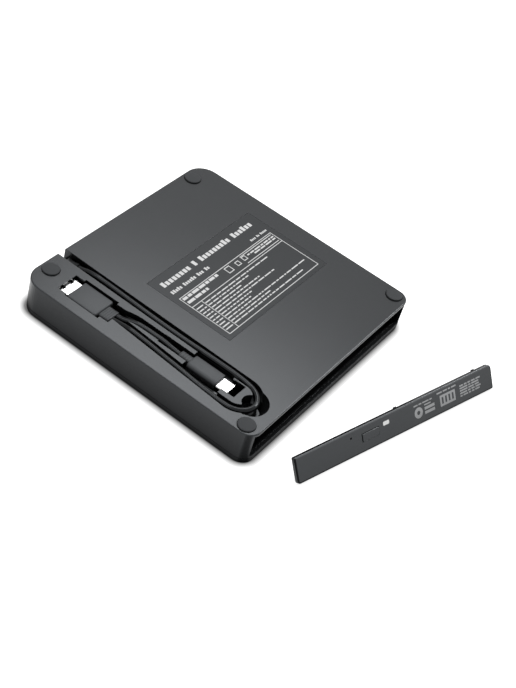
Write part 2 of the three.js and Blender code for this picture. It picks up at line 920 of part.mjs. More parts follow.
// The USB-A plug's moulded body with its strain relief, and a socket for the metal shell.
function plugAOvermold() {
  const section = rectangle(plugAX, plugAMid, plugAWidth, plugAHeight, plugACorner);
  const body = bar(section, plugAFrontY, plugARearY, plugARound);
  const reliefTop = plugALow + plugAHeight - plugAReliefTopDrop;
  const reliefSection = rectangle(
    plugAX,
    reliefTop - plugAReliefHeight / 2,
    plugAReliefWidth,
    plugAReliefHeight,
    plugAReliefCorner,
  );
  const relief = bar(reliefSection, plugAFrontY - plugAReliefLength, plugAFrontY + overrun, plugARound);
  const socket = bar(
    rectangle(
      plugAX,
      plugAMid,
      shellAWidth + 2 * plugSocketClearance,
      shellAHeight + 2 * plugSocketClearance,
      shellACorner,
    ),
    plugARearY - plugSocketDepth,
    plugARearY + overrun,
  );
  return body.add(relief).subtract(socket);
}

// The USB-A metal shell: a folded tube with two square windows on each broad side.
function plugAShell() {
  const front = plugARearY - plugSocketDepth + plugSocketClearance;
  const rear = plugARearY + shellAReach;
  const outer = bar(rectangle(plugAX, plugAMid, shellAWidth, shellAHeight, shellACorner), front, rear);
  const inner = bar(
    rectangle(plugAX, plugAMid, shellAWidth - 2 * shellAWall, shellAHeight - 2 * shellAWall, shellAWall),
    front - overrun,
    rear + overrun,
  );
  const windows = [-1, 1].map((side) => {
    const x = plugAX + (side * windowSpacing) / 2;
    const y = plugARearY + windowDistance + windowSize / 2;
    return prism(rectangle(x, y, windowSize, windowSize), plugALow, plugALow + plugAHeight);
  });
  return outer.subtract(inner).subtract(joined(windows));
}

// The USB-A plug's insulator, on the lower side of its shell.
function plugATongue() {
  const low = plugAMid - shellAHeight / 2 + shellAWall + plugSocketClearance;
  return block(
    [plugAX - tongueAWidth / 2, plugARearY - plugSocketDepth + plugSocketClearance, low],
    [plugAX + tongueAWidth / 2, plugARearY + shellAReach - tongueASetback, low + tongueAHeight],
  );
}

// The USB-C plug's moulded body with its strain relief, and a socket for the metal tip.
function plugCOvermold() {
  const body = bar(
    rectangle(plugCX, plugCMid, plugCWidth, plugCHeight, plugCCorner),
    plugCFrontY,
    plugCRearY,
    plugCRound,
    middleArc,
  );
  const relief = bar(
    rectangle(plugCX, plugCMid, plugCReliefWidth, plugCReliefHeight, plugCReliefCorner),
    plugCRearY - overrun,
    plugCRearY + plugCReliefLength,
    plugCRound,
  );
  const socket = bar(
    rectangle(
      plugCX,
      plugCMid,
      shellCWidth + 2 * plugSocketClearance,
      shellCHeight + 2 * plugSocketClearance,
      shellCHeight / 2,
    ),
    plugCFrontY - overrun,
    plugCFrontY + plugSocketDepth,
    0,
    middleArc,
  );
  return body.add(relief).subtract(socket);
}

// The USB-C metal tip, open at its front.
function plugCShell() {
  const front = plugCFrontY - shellCReach;
  const rear = plugCFrontY + plugSocketDepth - plugSocketClearance;
  const section = rectangle(plugCX, plugCMid, shellCWidth, shellCHeight, shellCHeight / 2);
  const outer = bar(section, front, rear, 0, middleArc);
  const innerHeight = shellCHeight - 2 * shellCWall;
  const inner = bar(
    rectangle(plugCX, plugCMid, shellCWidth - 2 * shellCWall, innerHeight, innerHeight / 2),
    front - overrun,
    plugCFrontY,
    0,
    middleArc,
  );
  return outer.subtract(inner);
}

// The rubber elbow that turns the lead from the case wall into its lane.
function cordGrommet() {
  const laneX = laneRightX - grommetLaneOffset;
  const bendX = laneX + grommetBendRadius;
  const bendY = exitY - grommetBendRadius;
  const innerX = laneRightX + wellWall + grommetInnerReach;
  const path = new THREE.CurvePath();
  const at = (x, y) => new THREE.Vector3(x, y, exitHeight);
  const start = at(innerX, exitY);
  const bendStart = at(bendX, exitY);
  const bendEnd = new THREE.Vector3(laneX, bendY, exitHeight + exitSlope * grommetBendRadius);
  const mouth = new THREE.Vector3(laneX, bendY - grommetLegLength, bendEnd.z + exitSlope * grommetLegLength);
  path.add(new THREE.LineCurve3(start, bendStart));
  path.add(new THREE.QuadraticBezierCurve3(bendStart, at(laneX, exitY), bendEnd));
  path.add(new THREE.LineCurve3(bendEnd, mouth));
  const section = new THREE.Shape().absarc(0, 0, grommetRadius, 0, 2 * Math.PI);
  const elbow = solidOf(
    new THREE.ExtrudeGeometry(section, {
      steps: grommetSteps,
      extrudePath: path,
      curveSegments: grommetSides / 2,
    }),
  );
  const collarX = laneRightX + wellWall + grommetHoleClearance + grommetCollarThickness / 2;
  const collar = solidOf(
    new THREE.CylinderGeometry(grommetCollarRadius, grommetCollarRadius, grommetCollarThickness, grommetSides)
      .rotateZ(Math.PI / 2)
      .translate(collarX, exitY, exitHeight),
  );
  return elbow.add(collar);
}

// The lead's last stretch inside the case, from the grommet down to the board's socket.
function innerPath() {
  const startX = laneRightX + wellWall + grommetInnerReach + innerLeadGap;
  const start = new THREE.Vector3(startX, exitY, exitHeight);
  const endX = boardLeftX + headerInset - wirePlugProud - innerLeadGap;
  const end = new THREE.Vector3(endX, headerMiddleY, partLow + headerHeight / 2);
  const bend = new THREE.Vector3(innerLeadBend, 0, 0);
  return new THREE.CubicBezierCurve3(start, start.clone().add(bend), end.clone().sub(bend), end);
}

// The bridge board with its two screw holes.
function bridgeBoard() {
  const outline = rectangle(boardMiddleX, boardRearY - boardWidth / 2, boardLength, boardWidth, boardCorner);
  const holes = screwPlaces().map(([x, y]) => rod(x, y, 0, caseHeight, bossHoleRadius));
  return prism(outline, boardHeight, boardTop).subtract(joined(holes));
}

// A pan-head screw that holds the board to its boss.
function boardScrew([x, y]) {
  const head = rod(x, y, partHigh - screwHeadHeight, partHigh, screwHeadRadius);
  const shank = rod(x, y, partHigh - screwHeadHeight / 2, partHigh + screwLength, screwRadius);
  const headLow = partHigh - screwHeadHeight;
  const cross = [
    rectangle(x, y, crossLength, slotDriveWidth),
    rectangle(x, y, slotDriveWidth, crossLength),
  ].map((arm) => prism(arm, headLow - overrun, headLow + slotDriveDepth));
  return head.add(shank).subtract(joined(cross));
}

// The receptacle that the drive's tongues push into.
function receptacle() {
  const x = boardMiddleX;
  const front = boardFrontY - receptacleOverhang;
  const middle = partLow + receptacleHeight / 2;
  const body = block(
    [x - receptacleWidth / 2, front, partLow],
    [x + receptacleWidth / 2, front + receptacleLength, partLow + receptacleHeight],
  );
  const slots = [
    [x - (powerSlotWidth + contactSlotGap) / 2, signalSlotWidth],
    [x + (signalSlotWidth + contactSlotGap) / 2, powerSlotWidth],
  ].map(([slotX, width]) =>
    bar(rectangle(slotX, middle, width, contactSlotHeight), front - overrun, front + contactSlotDepth),
  );
  const guides = [-1, 1].map((side) =>
    bar(
      rectangle(x + side * (receptacleWidth / 2 - guideSlotWidth), middle, guideSlotWidth, guideSlotHeight),
      front - overrun,
      front + contactSlotDepth,
    ),
  );
  return body.subtract(joined([...slots, ...guides]));
}

// The receptacle's row of solder tails on their carrier.
function contactRow() {
  const x = boardMiddleX;
  const front = boardFrontY - receptacleOverhang + receptacleLength + contactSeat;
  const span = contactPitch * (contactCount - 1);
  const carrier = block(
    [x - span / 2 - contactWidth, front, partLow],
    [x + span / 2 + contactWidth, front + contactBarWidth, partLow + receptacleHeight / 2],
  );
  const tails = Array.from({ length: contactCount }, (unused, index) => {
    const middle = x - span / 2 + contactPitch * index;
    return block(
      [middle - contactWidth / 2, front, partLow],
      [middle + contactWidth / 2, front + contactBarWidth + contactLength, partLow + contactHeight],
    );
  });
  return joined([carrier, ...tails]);
}

// The bridge chip's body with its bevelled edge, on the board's lower face.
function bridgeChip() {
  const y = boardRearY - boardWidth / 2;
  const outline = rectangle(boardMiddleX, y, chipSize, chipSize);
  return roundedPrism(outline, partHigh - chipHeight, partHigh, chipBevel, tinyArc, chamferSteps);
}

// The crystal's can and its rolled flange.
function crystal() {
  const x = boardMiddleX - chipSize / 2 - crystalGap - crystalLength / 2;
  const y = boardRearY - boardWidth / 2;
  const radius = crystalWidth / 2;
  const grow = 2 * crystalFlange;
  const can = roundedPrism(
    rectangle(x, y, crystalLength, crystalWidth, radius),
    partHigh - crystalHeight,
    partHigh - crystalFlangeHeight / 2,
    chipBevel,
    smallArc,
    chamferSteps,
  );
  const flange = prism(
    rectangle(x, y, crystalLength + grow, crystalWidth + grow, radius + crystalFlange),
    partHigh - crystalFlangeHeight,
    partHigh,
    smallArc,
  );
  return can.add(flange);
}

// A can capacitor on its square base.
function capacitor(index) {
  const x = boardRightX - capacitorRadius * 2 - index * capacitorSpacing;
  const y = boardFrontY + capacitorRadius + partEdgeGap;
  const base = block(
    [x - capacitorRadius, y - capacitorRadius, partLow],
    [x + capacitorRadius, y + capacitorRadius, partLow + capacitorBaseHeight],
  );
  return base.add(rod(x, y, partLow, partLow + capacitorHeight, capacitorCanRadius));
}

// The power inductor's moulded block.
function inductor() {
  const x = boardRightX - capacitorRadius * 2 - inductorSize;
  const y = boardRearY - inductorSize / 2 - partEdgeGap;
  return roundedPrism(
    rectangle(x, y, inductorSize, inductorSize, inductorCorner),
    partLow,
    partLow + inductorHeight,
    chipBevel,
    smallArc,
    chamferSteps,
  );
}

// The socket that takes the lead's inner end.
function wireHeader() {
  const left = boardLeftX + headerInset;
  const side = headerWidth / 2;
  const body = block(
    [left, headerMiddleY - side, partLow],
    [left + headerLength, headerMiddleY + side, partLow + headerHeight],
  );
  const mouth = block(
    [left - overrun, headerMiddleY - side + headerWall, partLow + headerWall],
    [left + headerDepth, headerMiddleY + side - headerWall, partLow + headerHeight - headerWall],
  );
  return body.subtract(mouth);
}

// The lead's inner connector, pushed into that socket.
function wirePlug() {
  const left = boardLeftX + headerInset;
  const inset = headerWall + headerClearance;
  const side = headerWidth / 2 - inset;
  return block(
    [left - wirePlugProud, headerMiddleY - side, partLow + inset],
    [left + headerDepth - headerClearance, headerMiddleY + side, partLow + headerHeight - inset],
  );
}

// The loose front plate, drawn face up: X along it, Y up it and Z out of its face.
function facePlate() {
  const radii = [faceLowLeftRadius, faceLowRightRadius, faceHighRightRadius, faceHighLeftRadius];
  const outer = roundedPrism(
    fourRadiusRectangle(0, 0, faceLength, faceHeight, radii),
    -faceDepth - faceEdgeRound - overrun,
    0,
    faceEdgeRound,
    smallArc,
    edgeSteps,
  ).subtract(
    block(
      [-overrun, -overrun, -faceDepth - 2 * overrun],
      [faceLength + overrun, faceHeight + overrun, -faceDepth],
    ),
  );
  const hollow = block(
    [faceRim, faceRim, -faceDepth - overrun],
    [faceLength - faceRim, faceHeight - faceRim, -facePanel],
  );
  const stiffenerSpacing = faceLength / (stiffenerCount + 1);
  const stiffeners = Array.from({ length: stiffenerCount }, (unused, index) => index + 1)
    .map((step) => step * stiffenerSpacing)
    .filter((x) => x < pinholeX - clipWidth || x > windowX + windowWidth + clipWidth)
    .map((x) =>
      block([x - stiffenerWidth / 2, 0, -faceDepth], [x + stiffenerWidth / 2, faceHeight, -facePanel / 2]),
    );
  const solids = [outer.subtract(hollow), ...stiffeners.map((stiffener) => stiffener.intersect(outer))];
  return joined([...solids, ...restingClips(), ...hookTabs(), springPost()]).subtract(faceCuts());
}

// The holes for the button, the pin and the window.
function faceCuts() {
  const buttonHole = fourRadiusRectangle(
    buttonX - buttonGapLeft,
    buttonY - buttonGap,
    buttonWidth + buttonGapLeft + buttonGap,
    buttonHeight + buttonGap + buttonGapTop,
    [buttonCorner, buttonCorner, buttonCorner, buttonCorner],
  );
  const windowHole = rectangle(
    windowX + windowWidth / 2,
    windowY + windowHeight / 2,
    windowWidth + 2 * windowGap,
    windowHeight + 2 * windowGap,
    windowCorner,
  );
  const low = -facePanel - overrun;
  return joined([
    prism(buttonHole, low, overrun, tinyArc),
    prism(windowHole, low, overrun, tinyArc),
    prism(disc(pinholeX, pinholeY, pinholeRadius), low, overrun, smallArc),
  ]);
}

// The two snap clips on the back. Their tips touch the floor, which is why the plate leans as it does.
function restingClips() {
  const reach = clipRise / Math.tan(faceLean);
  const section = (x) => [
    block(
      [x, clipRise, -faceDepth - reach],
      [x + clipWidth, clipRise + clipThickness, -facePanel / 2],
    ),
    block(
      [x, clipRise + clipThickness / 2, -faceDepth - reach],
      [x + clipWidth, clipRise + clipThickness + clipBarb, -faceDepth - reach + clipBarbLength],
    ),
  ];
  return [clipEndInset, faceLength - clipEndInset - clipWidth].flatMap(section);
}

// The two short hooks along the upper edge.
function hookTabs() {
  return [faceLength / 2, faceLength - hookTabEndInset].map((x) =>
    block(
      [x - hookTabWidth / 2, faceHeight - hookTabThickness, -faceDepth - hookTabLength],
      [x + hookTabWidth / 2, faceHeight + hookTabProud, -faceDepth],
    ).add(
      block(
        [x - hookTabWidth / 2, faceHeight - hookTabThickness, -faceDepth - hookTabLength],
        [x + hookTabWidth / 2, faceHeight - faceEdgeRound, -facePanel / 2],
      ),
    ),
  );
}

// The button's return leaf lies behind it and is staked on one post of the plate.
const flangeHigh = -facePanel - buttonFlangeGap;
const flangeLow = flangeHigh - buttonFlangeThickness;
const springHigh = flangeLow - buttonNubLength - buttonTravel - springSeatGap;
const buttonMiddleX = buttonX + buttonWidth / 2;
const buttonMiddleY = buttonY + buttonHeight / 2;
const springPostX = buttonMiddleX - springLength + springFootRadius + buttonNubRadius;

function springPost() {
  const foot = rod(springPostX, buttonMiddleY, springHigh + springSeatGap, -facePanel / 2, springFootRadius);
  const stake = rod(
    springPostX,
    buttonMiddleY,
    springHigh - springThickness - springPostTip,
    -facePanel / 2,
    springPostRadius,
  );
  return foot.add(stake);
}

function buttonSpring() {
  const left = springPostX - springFootRadius;
  const outline = rectangle(left + springLength / 2, buttonMiddleY, springLength, springWidth, springCorner);
  const strip = prism(outline, springHigh - springThickness, springHigh, smallArc);
  const hole = rod(
    springPostX,
    buttonMiddleY,
    springHigh - springThickness - overrun,
    springHigh + overrun,
    springPostRadius + springHoleClearance,
  );
  return strip.subtract(hole);
}

// The eject button: a cap in the plate's hole, a flange behind it and a nub towards the leaf.
function ejectButton() {
  const corners = [buttonCorner, buttonCorner, buttonCorner, buttonCorner];
  const cap = roundedPrism(
    fourRadiusRectangle(buttonX, buttonY, buttonWidth, buttonHeight, corners),
    flangeLow,
    buttonProud,
    buttonRound,
    tinyArc,
    chamferSteps,
  );
  const flange = prism(
    fourRadiusRectangle(
      buttonX - buttonGapLeft - buttonFlange,
      buttonY - buttonFlange,
      buttonWidth + buttonGapLeft + 2 * buttonFlange,
      buttonHeight + buttonGapTop + 2 * buttonFlange,
      corners,
    ),
    flangeLow,
    flangeHigh,
    tinyArc,
  );
  const nub = rod(buttonMiddleX, buttonMiddleY, flangeLow - buttonNubLength, flangeHigh, buttonNubRadius);
  return joined([cap, flange, nub]);
}

// The white window of the activity light, with a flange behind the plate.
function lightWindow() {
  const x = windowX + windowWidth / 2;
  const y = windowY + windowHeight / 2;
  const lensOutline = rectangle(x, y, windowWidth, windowHeight, windowCorner);
  const lens = prism(lensOutline, -facePanel - windowFlangeThickness, 0, tinyArc);
  const flange = prism(
    rectangle(x, y, windowWidth + 2 * windowFlange, windowHeight + 2 * windowFlange, windowCorner),
    -facePanel - windowBackGap - windowFlangeThickness,
    -facePanel - windowBackGap,
    tinyArc,
  );
  return lens.add(flange);
}

// Materials
function finish(color, roughness, metalness = 0) {
  return new THREE.MeshStandardMaterial({ color, roughness, metalness });
}

const finishes = {
  case: () => finish(0x3c3d3f, 0.5),
  rubber: () => finish(0x2c2d2f, 0.8),
  label: () => finish(0x353638, 0.55),
  plug: () => finish(0x3a3b3d, 0.6),
  steel: () => finish(0xe6e6e6, 0.25, 1),
  insulator: () => finish(0xf0f0ec, 0.5),
  cord: () => finish(0x1c1c1e, 0.35),
  board: () => finish(0x14432a, 0.5),
  chip: () => finish(0x18181a, 0.6),
  contact: () => finish(0xd8b25a, 0.3, 1),
  foam: () => finish(0x1a1a1a, 0.95),
  face: () => finish(0x3a3b3c, 0.5),
  window: () => finish(0xf4f4f2, 0.3),
};

const part = new THREE.Group();
const tilt = new THREE.Group();

function place(group, name, shape, look, position = [0, 0, 0]) {
  const geometry = shape.isBufferGeometry ? shape : geometryOf(shape);
  const mesh = new THREE.Mesh(geometry, finishes[look]());
  mesh.name = name;
  mesh.position.set(...position);
  group.add(mesh);
}

// Case
place(part, "bottom_shell", bottomShell(), "case");
place(part, "top_cover", topCover(), "case");
const footLow = caseHeight - footSeatDepth + footSeatGap;
for (const [name, [x, y]] of Object.entries(footPlaces())) {
  place(part, name, foot(), "rubber", [x, y, footLow]);
}
const labelAt = labelPlace();
const labelLow = caseHeight - labelSeatDepth + labelSeatGap;
place(part, "rating_label", prism(rectangle(0, 0, labelWidth, labelDepth), 0, labelThickness), "label", [
  labelAt.x,
  labelAt.y,
  labelLow,
]);
railPlaces().forEach((x, index) => {
  place(part, ["drive_pad_left", "drive_pad_right"][index], drivePad(x), "foam");
});

// Lead
place(part, "cord_grommet", cordGrommet(), "rubber");
const cordRadius = cordDiameter / 2;
place(part, "main_cord", tube(through(mainRoute), cordRadius, cordSides, mainCordSteps), "cord");
place(part, "tether_cord", tube(through(tetherRoute), cordRadius, tetherSides, tetherCordSteps), "cord");
place(part, "inner_lead", tube(innerPath(), cordRadius, tetherSides, innerCordSteps), "cord");
place(part, "usb_a_overmold", plugAOvermold(), "plug");
place(part, "usb_a_shell", plugAShell(), "steel");
place(part, "usb_a_tongue", plugATongue(), "insulator");
place(part, "usb_c_overmold", plugCOvermold(), "plug");
place(part, "usb_c_shell", plugCShell(), "steel");

// Bridge board
place(part, "bridge_board", bridgeBoard(), "board");
screwPlaces().forEach((at, index) => {
  place(part, ["board_screw_left", "board_screw_right"][index], boardScrew(at), "steel");
});
place(part, "drive_receptacle", receptacle(), "chip");
place(part, "receptacle_contacts", contactRow(), "contact");
place(part, "bridge_chip", bridgeChip(), "chip");
place(part, "crystal", crystal(), "steel");
place(part, "capacitor_1", capacitor(0), "steel");
place(part, "capacitor_2", capacitor(1), "steel");
place(part, "inductor", inductor(), "chip");
place(part, "wire_header", wireHeader(), "insulator");
place(part, "wire_plug", wirePlug(), "insulator");

// Loose front plate, leaning back on its clips
const stand = new THREE.Group();
stand.position.set(faceX, faceY, faceDepth * Math.sin(faceLean));
stand.rotation.z = faceYaw;
tilt.rotation.x = Math.PI / 2 - faceLean;
stand.add(tilt);
part.add(stand);
place(tilt, "faceplate", facePlate(), "face");
place(tilt, "eject_button", ejectButton(), "face");
place(tilt, "button_spring", buttonSpring(), "steel");
place(tilt, "light_window", lightWindow(), "window");

export default part;
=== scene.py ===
# Looks of the slim disc drive enclosure: camera, lead, plugs, feet, prints, materials, floor and light.
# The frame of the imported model, in metres. Sizes named below are in millimetres and are scaled by MM.
import json
import math
import random
from dataclasses import dataclass

import bmesh
import bpy
from mathutils import Euler, Matrix, Vector


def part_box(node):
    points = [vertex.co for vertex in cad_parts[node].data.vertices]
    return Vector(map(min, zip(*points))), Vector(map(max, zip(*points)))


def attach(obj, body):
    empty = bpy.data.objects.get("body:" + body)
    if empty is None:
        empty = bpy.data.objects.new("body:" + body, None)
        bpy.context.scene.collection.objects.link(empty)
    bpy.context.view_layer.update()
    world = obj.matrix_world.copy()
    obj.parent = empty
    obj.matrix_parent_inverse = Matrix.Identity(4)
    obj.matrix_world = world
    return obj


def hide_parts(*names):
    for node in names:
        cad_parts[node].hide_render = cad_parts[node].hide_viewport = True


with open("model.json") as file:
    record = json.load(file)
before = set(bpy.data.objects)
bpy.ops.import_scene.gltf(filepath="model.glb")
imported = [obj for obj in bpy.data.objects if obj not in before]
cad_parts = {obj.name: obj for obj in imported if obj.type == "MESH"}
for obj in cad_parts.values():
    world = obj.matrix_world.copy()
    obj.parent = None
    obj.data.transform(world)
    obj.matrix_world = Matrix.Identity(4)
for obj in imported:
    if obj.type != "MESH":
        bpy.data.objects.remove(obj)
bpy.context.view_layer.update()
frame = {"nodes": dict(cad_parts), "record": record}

MM = 0.001
CASE_BODY = "case"
PLATE_BODY = "front_plate"

# Camera, solved from the photograph's straight edges: its place, and its turn about X, Y and Z in degrees
CAMERA_PLACE = (-468.8, -238.7, 479.1)
CAMERA_TURN = (45.6945, -12.53, -53.8209)
CAMERA_LENS = 71.1
CAMERA_SENSOR = 36

# Lead: the routes of the imported model, given point by point
CORD_DIAMETER = 3.4
CORD_ROUND_STEPS = 6
CORD_CURVE_STEPS = 10
MAIN_ROUTE = [
    (-43.6, 60.05, 16.66),
    (-43.6, 57.5, 17.15),
    (-43.4, 54.5, 17.8),
    (-43.1, 50, 18.15),
    (-43, 44.5, 18.15),
    (-43.15, 36, 18.15),
    (-43.6, 22.5, 18.15),
    (-44, 7.5, 18.15),
    (-44.1, -7.5, 18.15),
    (-43.8, -21.5, 18.15),
    (-43.6, -33, 18.15),
    (-43.7, -41.5, 18.15),
    (-44.2, -48, 18.15),
    (-45.6, -53.5, 18.15),
    (-48.1, -57.3, 18.15),
    (-52, -59.6, 18.15),
    (-56.3, -59.6, 18.15),
    (-60.2, -57.4, 18.15),
    (-62.7, -53.6, 18.15),
    (-63.6, -48, 18.15),
    (-63.4, -40, 18.15),
    (-62.8, -30, 18.15),
    (-61.7, -20, 18.15),
    (-60.9, -10, 18.15),
    (-60, 0, 18.15),
    (-59.5, 8.5, 18.15),
    (-59.35, 13.5, 18.12),
    (-59.35, 19, 17.45),
    (-59.6, 24.1, 17),
]
TETHER_ROUTE = [
    (-55.8, 24.1, 17),
    (-55.6, 21, 17.15),
    (-54.7, 17.5, 17.6),
    (-53.6, 13.2, 18.17),
    (-53, 8, 18.2),
    (-52.9, 2.5, 18.2),
    (-52.85, -3, 18.15),
    (-52.95, -8.5, 17.65),
    (-53, -13.5, 17.3),
]

# Rounding, smooth shading, and how close two points are to count as one
CORNER_STEPS = 8
ROUND_STEPS = 5
FOOT_SIDES = 72
RING_SIDES = 40
SMOOTH_ANGLE = math.radians(32)
MERGE_DISTANCE = 0.001

# Feet
FOOT_EDGE_ROUND = 0.45
FOOT_CROWN = 0.16
FOOT_CROWN_STEPS = 6

# Parting line round both plug bodies
SEAM_WIDTH = 0.24
SEAM_DEPTH = 0.12


@dataclass
class Plug:
    """A moulded plug body: its mouth holds the metal shell, its strain relief the lead."""

    mouth_in_front: bool
    width: float
    height: float
    length: float
    corner: float
    mouth_round: float
    lead_round: float
    socket_width: float
    socket_height: float
    socket_corner: float
    socket_depth: float
    relief_width: float
    relief_height: float
    relief_length: float
    relief_corner: float
    relief_drop: float
    relief_round: float
    ridge_count: int
    ridge_depth: float


PLUG_A = Plug(
    mouth_in_front=False,
    width=15.2,
    height=7.1,
    length=18.8,
    corner=1.3,
    mouth_round=0.45,
    lead_round=1.3,
    socket_width=12.3,
    socket_height=4.8,
    socket_corner=0.5,
    socket_depth=1.6,
    relief_width=9.6,
    relief_height=4.4,
    relief_length=6,
    relief_corner=1.2,
    relief_drop=0.9,
    relief_round=0.45,
    ridge_count=4,
    ridge_depth=0.12,
)
PLUG_C = Plug(
    mouth_in_front=True,
    width=9.8,
    height=5.2,
    length=18.2,
    corner=2.2,
    mouth_round=0.5,
    lead_round=0.9,
    socket_width=8.55,
    socket_height=2.7,
    socket_corner=1.35,
    socket_depth=1.6,
    relief_width=5.2,
    relief_height=4.2,
    relief_length=6.6,
    relief_corner=1.4,
    relief_drop=0.5,
    relief_round=0.45,
    ridge_count=4,
    ridge_depth=0.12,
)

# Print on the label: plain blocks in rows stand in for its words. Places run from the label's middle.
# A row is its start, end, base and height, a rule its start, end and base, and a mark its left side,
# base and size.
INK_THICKNESS = 0.02
INK_PROUD = 0.012
TITLE_ROW = (-39.4, 37.9, 18.75, 3.6)
SECOND_ROW = (-39.8, -8.6, 12.75, 2.2)
SMALL_ROW = (25.9, 40.4, 10.9, 1.5)
TITLE_WORDS = (8, 1, 9, 6)
SECOND_WORDS = (5, 6, 3, 2)
SMALL_WORDS = (4, 2, 5)
FRAME_LOW = (-40.2, -24.1)
FRAME_HIGH = (40.15, 8.85)
FRAME_LINE = 0.42
FRAME_RULE_Y = 0.2
COLUMN_RULE_X = -32.6
LETTER_WIDTH_SHARE = 0.74
SHORT_LETTER_SHARE = 0.76
SHORT_HEIGHT_SHARE = 0.76
LETTER_PITCH_SHARE = 0.78
WORD_GAP_SHARE = 0.75
FINE_ROW_COUNT = 10
FINE_ROW_TOP = -2.35
FINE_ROW_PITCH = 2.1
FINE_ROW_HEIGHT = 0.7
FINE_ROW_START = -31.9
FINE_ROW_END = 38.6
FINE_ROW_LEAST_SHARE = 0.3
FINE_KEY_START = -39.2
FINE_KEY_END = -33.6
FINE_WORD_LEAST = 1.4
FINE_WORD_MOST = 6
FINE_WORD_GAP = 0.7
BOLD_ROWS = ((-39, -10, 6.15, 1.7), (-38.8, -22, 3, 1.7))
SIDE_ROWS = ((15, 38.9, 5.35, 0.9), (19.5, 38.7, 3.75, 0.9))
SIDE_RULES = ((10.2, 38.9, 7.3), (10.2, 38.9, 1.6))
SIDE_RULE_LINE = 0.45
MARK_PLACES = ((-4.1, 3.2, 4.4), (4.2, 3.6, 3.2), (10.2, 3.9, 3.2))
MARK_LINE = 0.5
PRINT_SEED = 7

# Print on the loose front plate, in the plate's own frame: along its length, up its face and out of it.
# Its place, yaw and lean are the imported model's. A bar or caption is its left side, base, width and
# height.
PLATE_PLACE = (-62.9, -97.75, 1.2423)
PLATE_YAW = math.radians(-15.24)
PLATE_LEAN = math.radians(34.38)
RING_MIDDLE = (82.2, 6.3)
RING_RADIUS = 2.9
RING_HOLE_RADIUS = 1.1
RING_BARS = ((86.6, 4, 7.2, 1.5), (86.6, 6.3, 7.2, 1.5), (86.6, 8.6, 4.6, 0.7))
RING_CAPTION = (79.2, 10.2, 13.4, 0.7)
BLOCK_CAPTION = (96.1, 11, 14.1, 0.8)
BLOCK_PLACE = (98, 3.7)
BLOCK_SIZE = (11.2, 6)
BLOCK_RIM = 1.2
BLOCK_COLUMNS = 4
ROWS_PLACE = (112.8, 3.8)
ROWS_SIZE = (15.6, 6.9)
ROWS_COUNT = 5
ROW_SHARE = 0.6

# Rim of the loose front plate, rounded wider than its solid's, its hooks and its button. The two looks,
# a painted shade and a painted highlight, are places in the list of materials that the plate's pieces
# carry.
PLATE_HEIGHT = 13.7
PLATE_DEPTH = 2.2
RIM_ROUND = 0.55
RIM_BAND = 0.3
HOOK_LOW = 12
HOOK_LENGTH = 0.7
LEVEL_MARGIN = 0.01
BUTTON_CAP_DEPTH = 1.5
BUTTON_GROW = 0.11
BUTTON_BEVEL = 0.25
PAINTED_SHADE_LOOK = 1
PAINTED_HIGHLIGHT_LOOK = 2

# How far a face points up the plate or out of it, as a part of its unit direction
RIM_TURN = 0.5
SIDE_STEEPNESS = 0.3
RIM_STEEPNESS = 0.97
FLAT_STEEPNESS = 0.999

# Surfaces in general. Clouds and draw lines are given by how many there are in a metre.
CLOUD_SCALE = 45
CLOUD_DETAIL = 4
GRAIN_DETAIL = 3
# Painted shade in corners and grooves: how far it looks and how many rays it takes
CORNER_DISTANCE = 20
CORNER_SAMPLES = 8
EDGE_SAMPLES = 4
GREY_TINT = (1, 1.05, 1.1)
SHEEN_TINT = (0.95, 1, 1.05, 1)
DRAW_LINE_SCALE = (4000, 300, 4000)
METAL_GLOSS_SHARE = 0.3
METAL_TINT_SHARE = 0.95
# Painted shade on metal: black where it is deeply shut in
METAL_CORNER_DISTANCE = 4
METAL_CORNER_POWER = 1
METAL_SHADE_RANGE = (0.55, 0.7)
STEEL_COLOUR = (0.8, 0.8, 0.8)
STEEL_ROUGHNESS = 0.2
CONTACT_COLOUR = (0.83, 0.6, 0.25)
CONTACT_ROUGHNESS = 0.3


def grey(value):
    """A dark grey that leans a little towards blue, as the mouldings do."""
    return tuple(value * channel for channel in GREY_TINT)


@dataclass
class Look:
    """How a moulded surface looks: colour, gloss, grain, cloudiness, painted shade in corners and softened
    edges.
    """

    colour: tuple
    roughness: float
    specular: float
    grain_size: float
    grain_depth: float
    mottle_share: float = 0.06
    gloss_spread: float = 0.04
    painted_shade_power: float = 2
    edge: float = 0.25


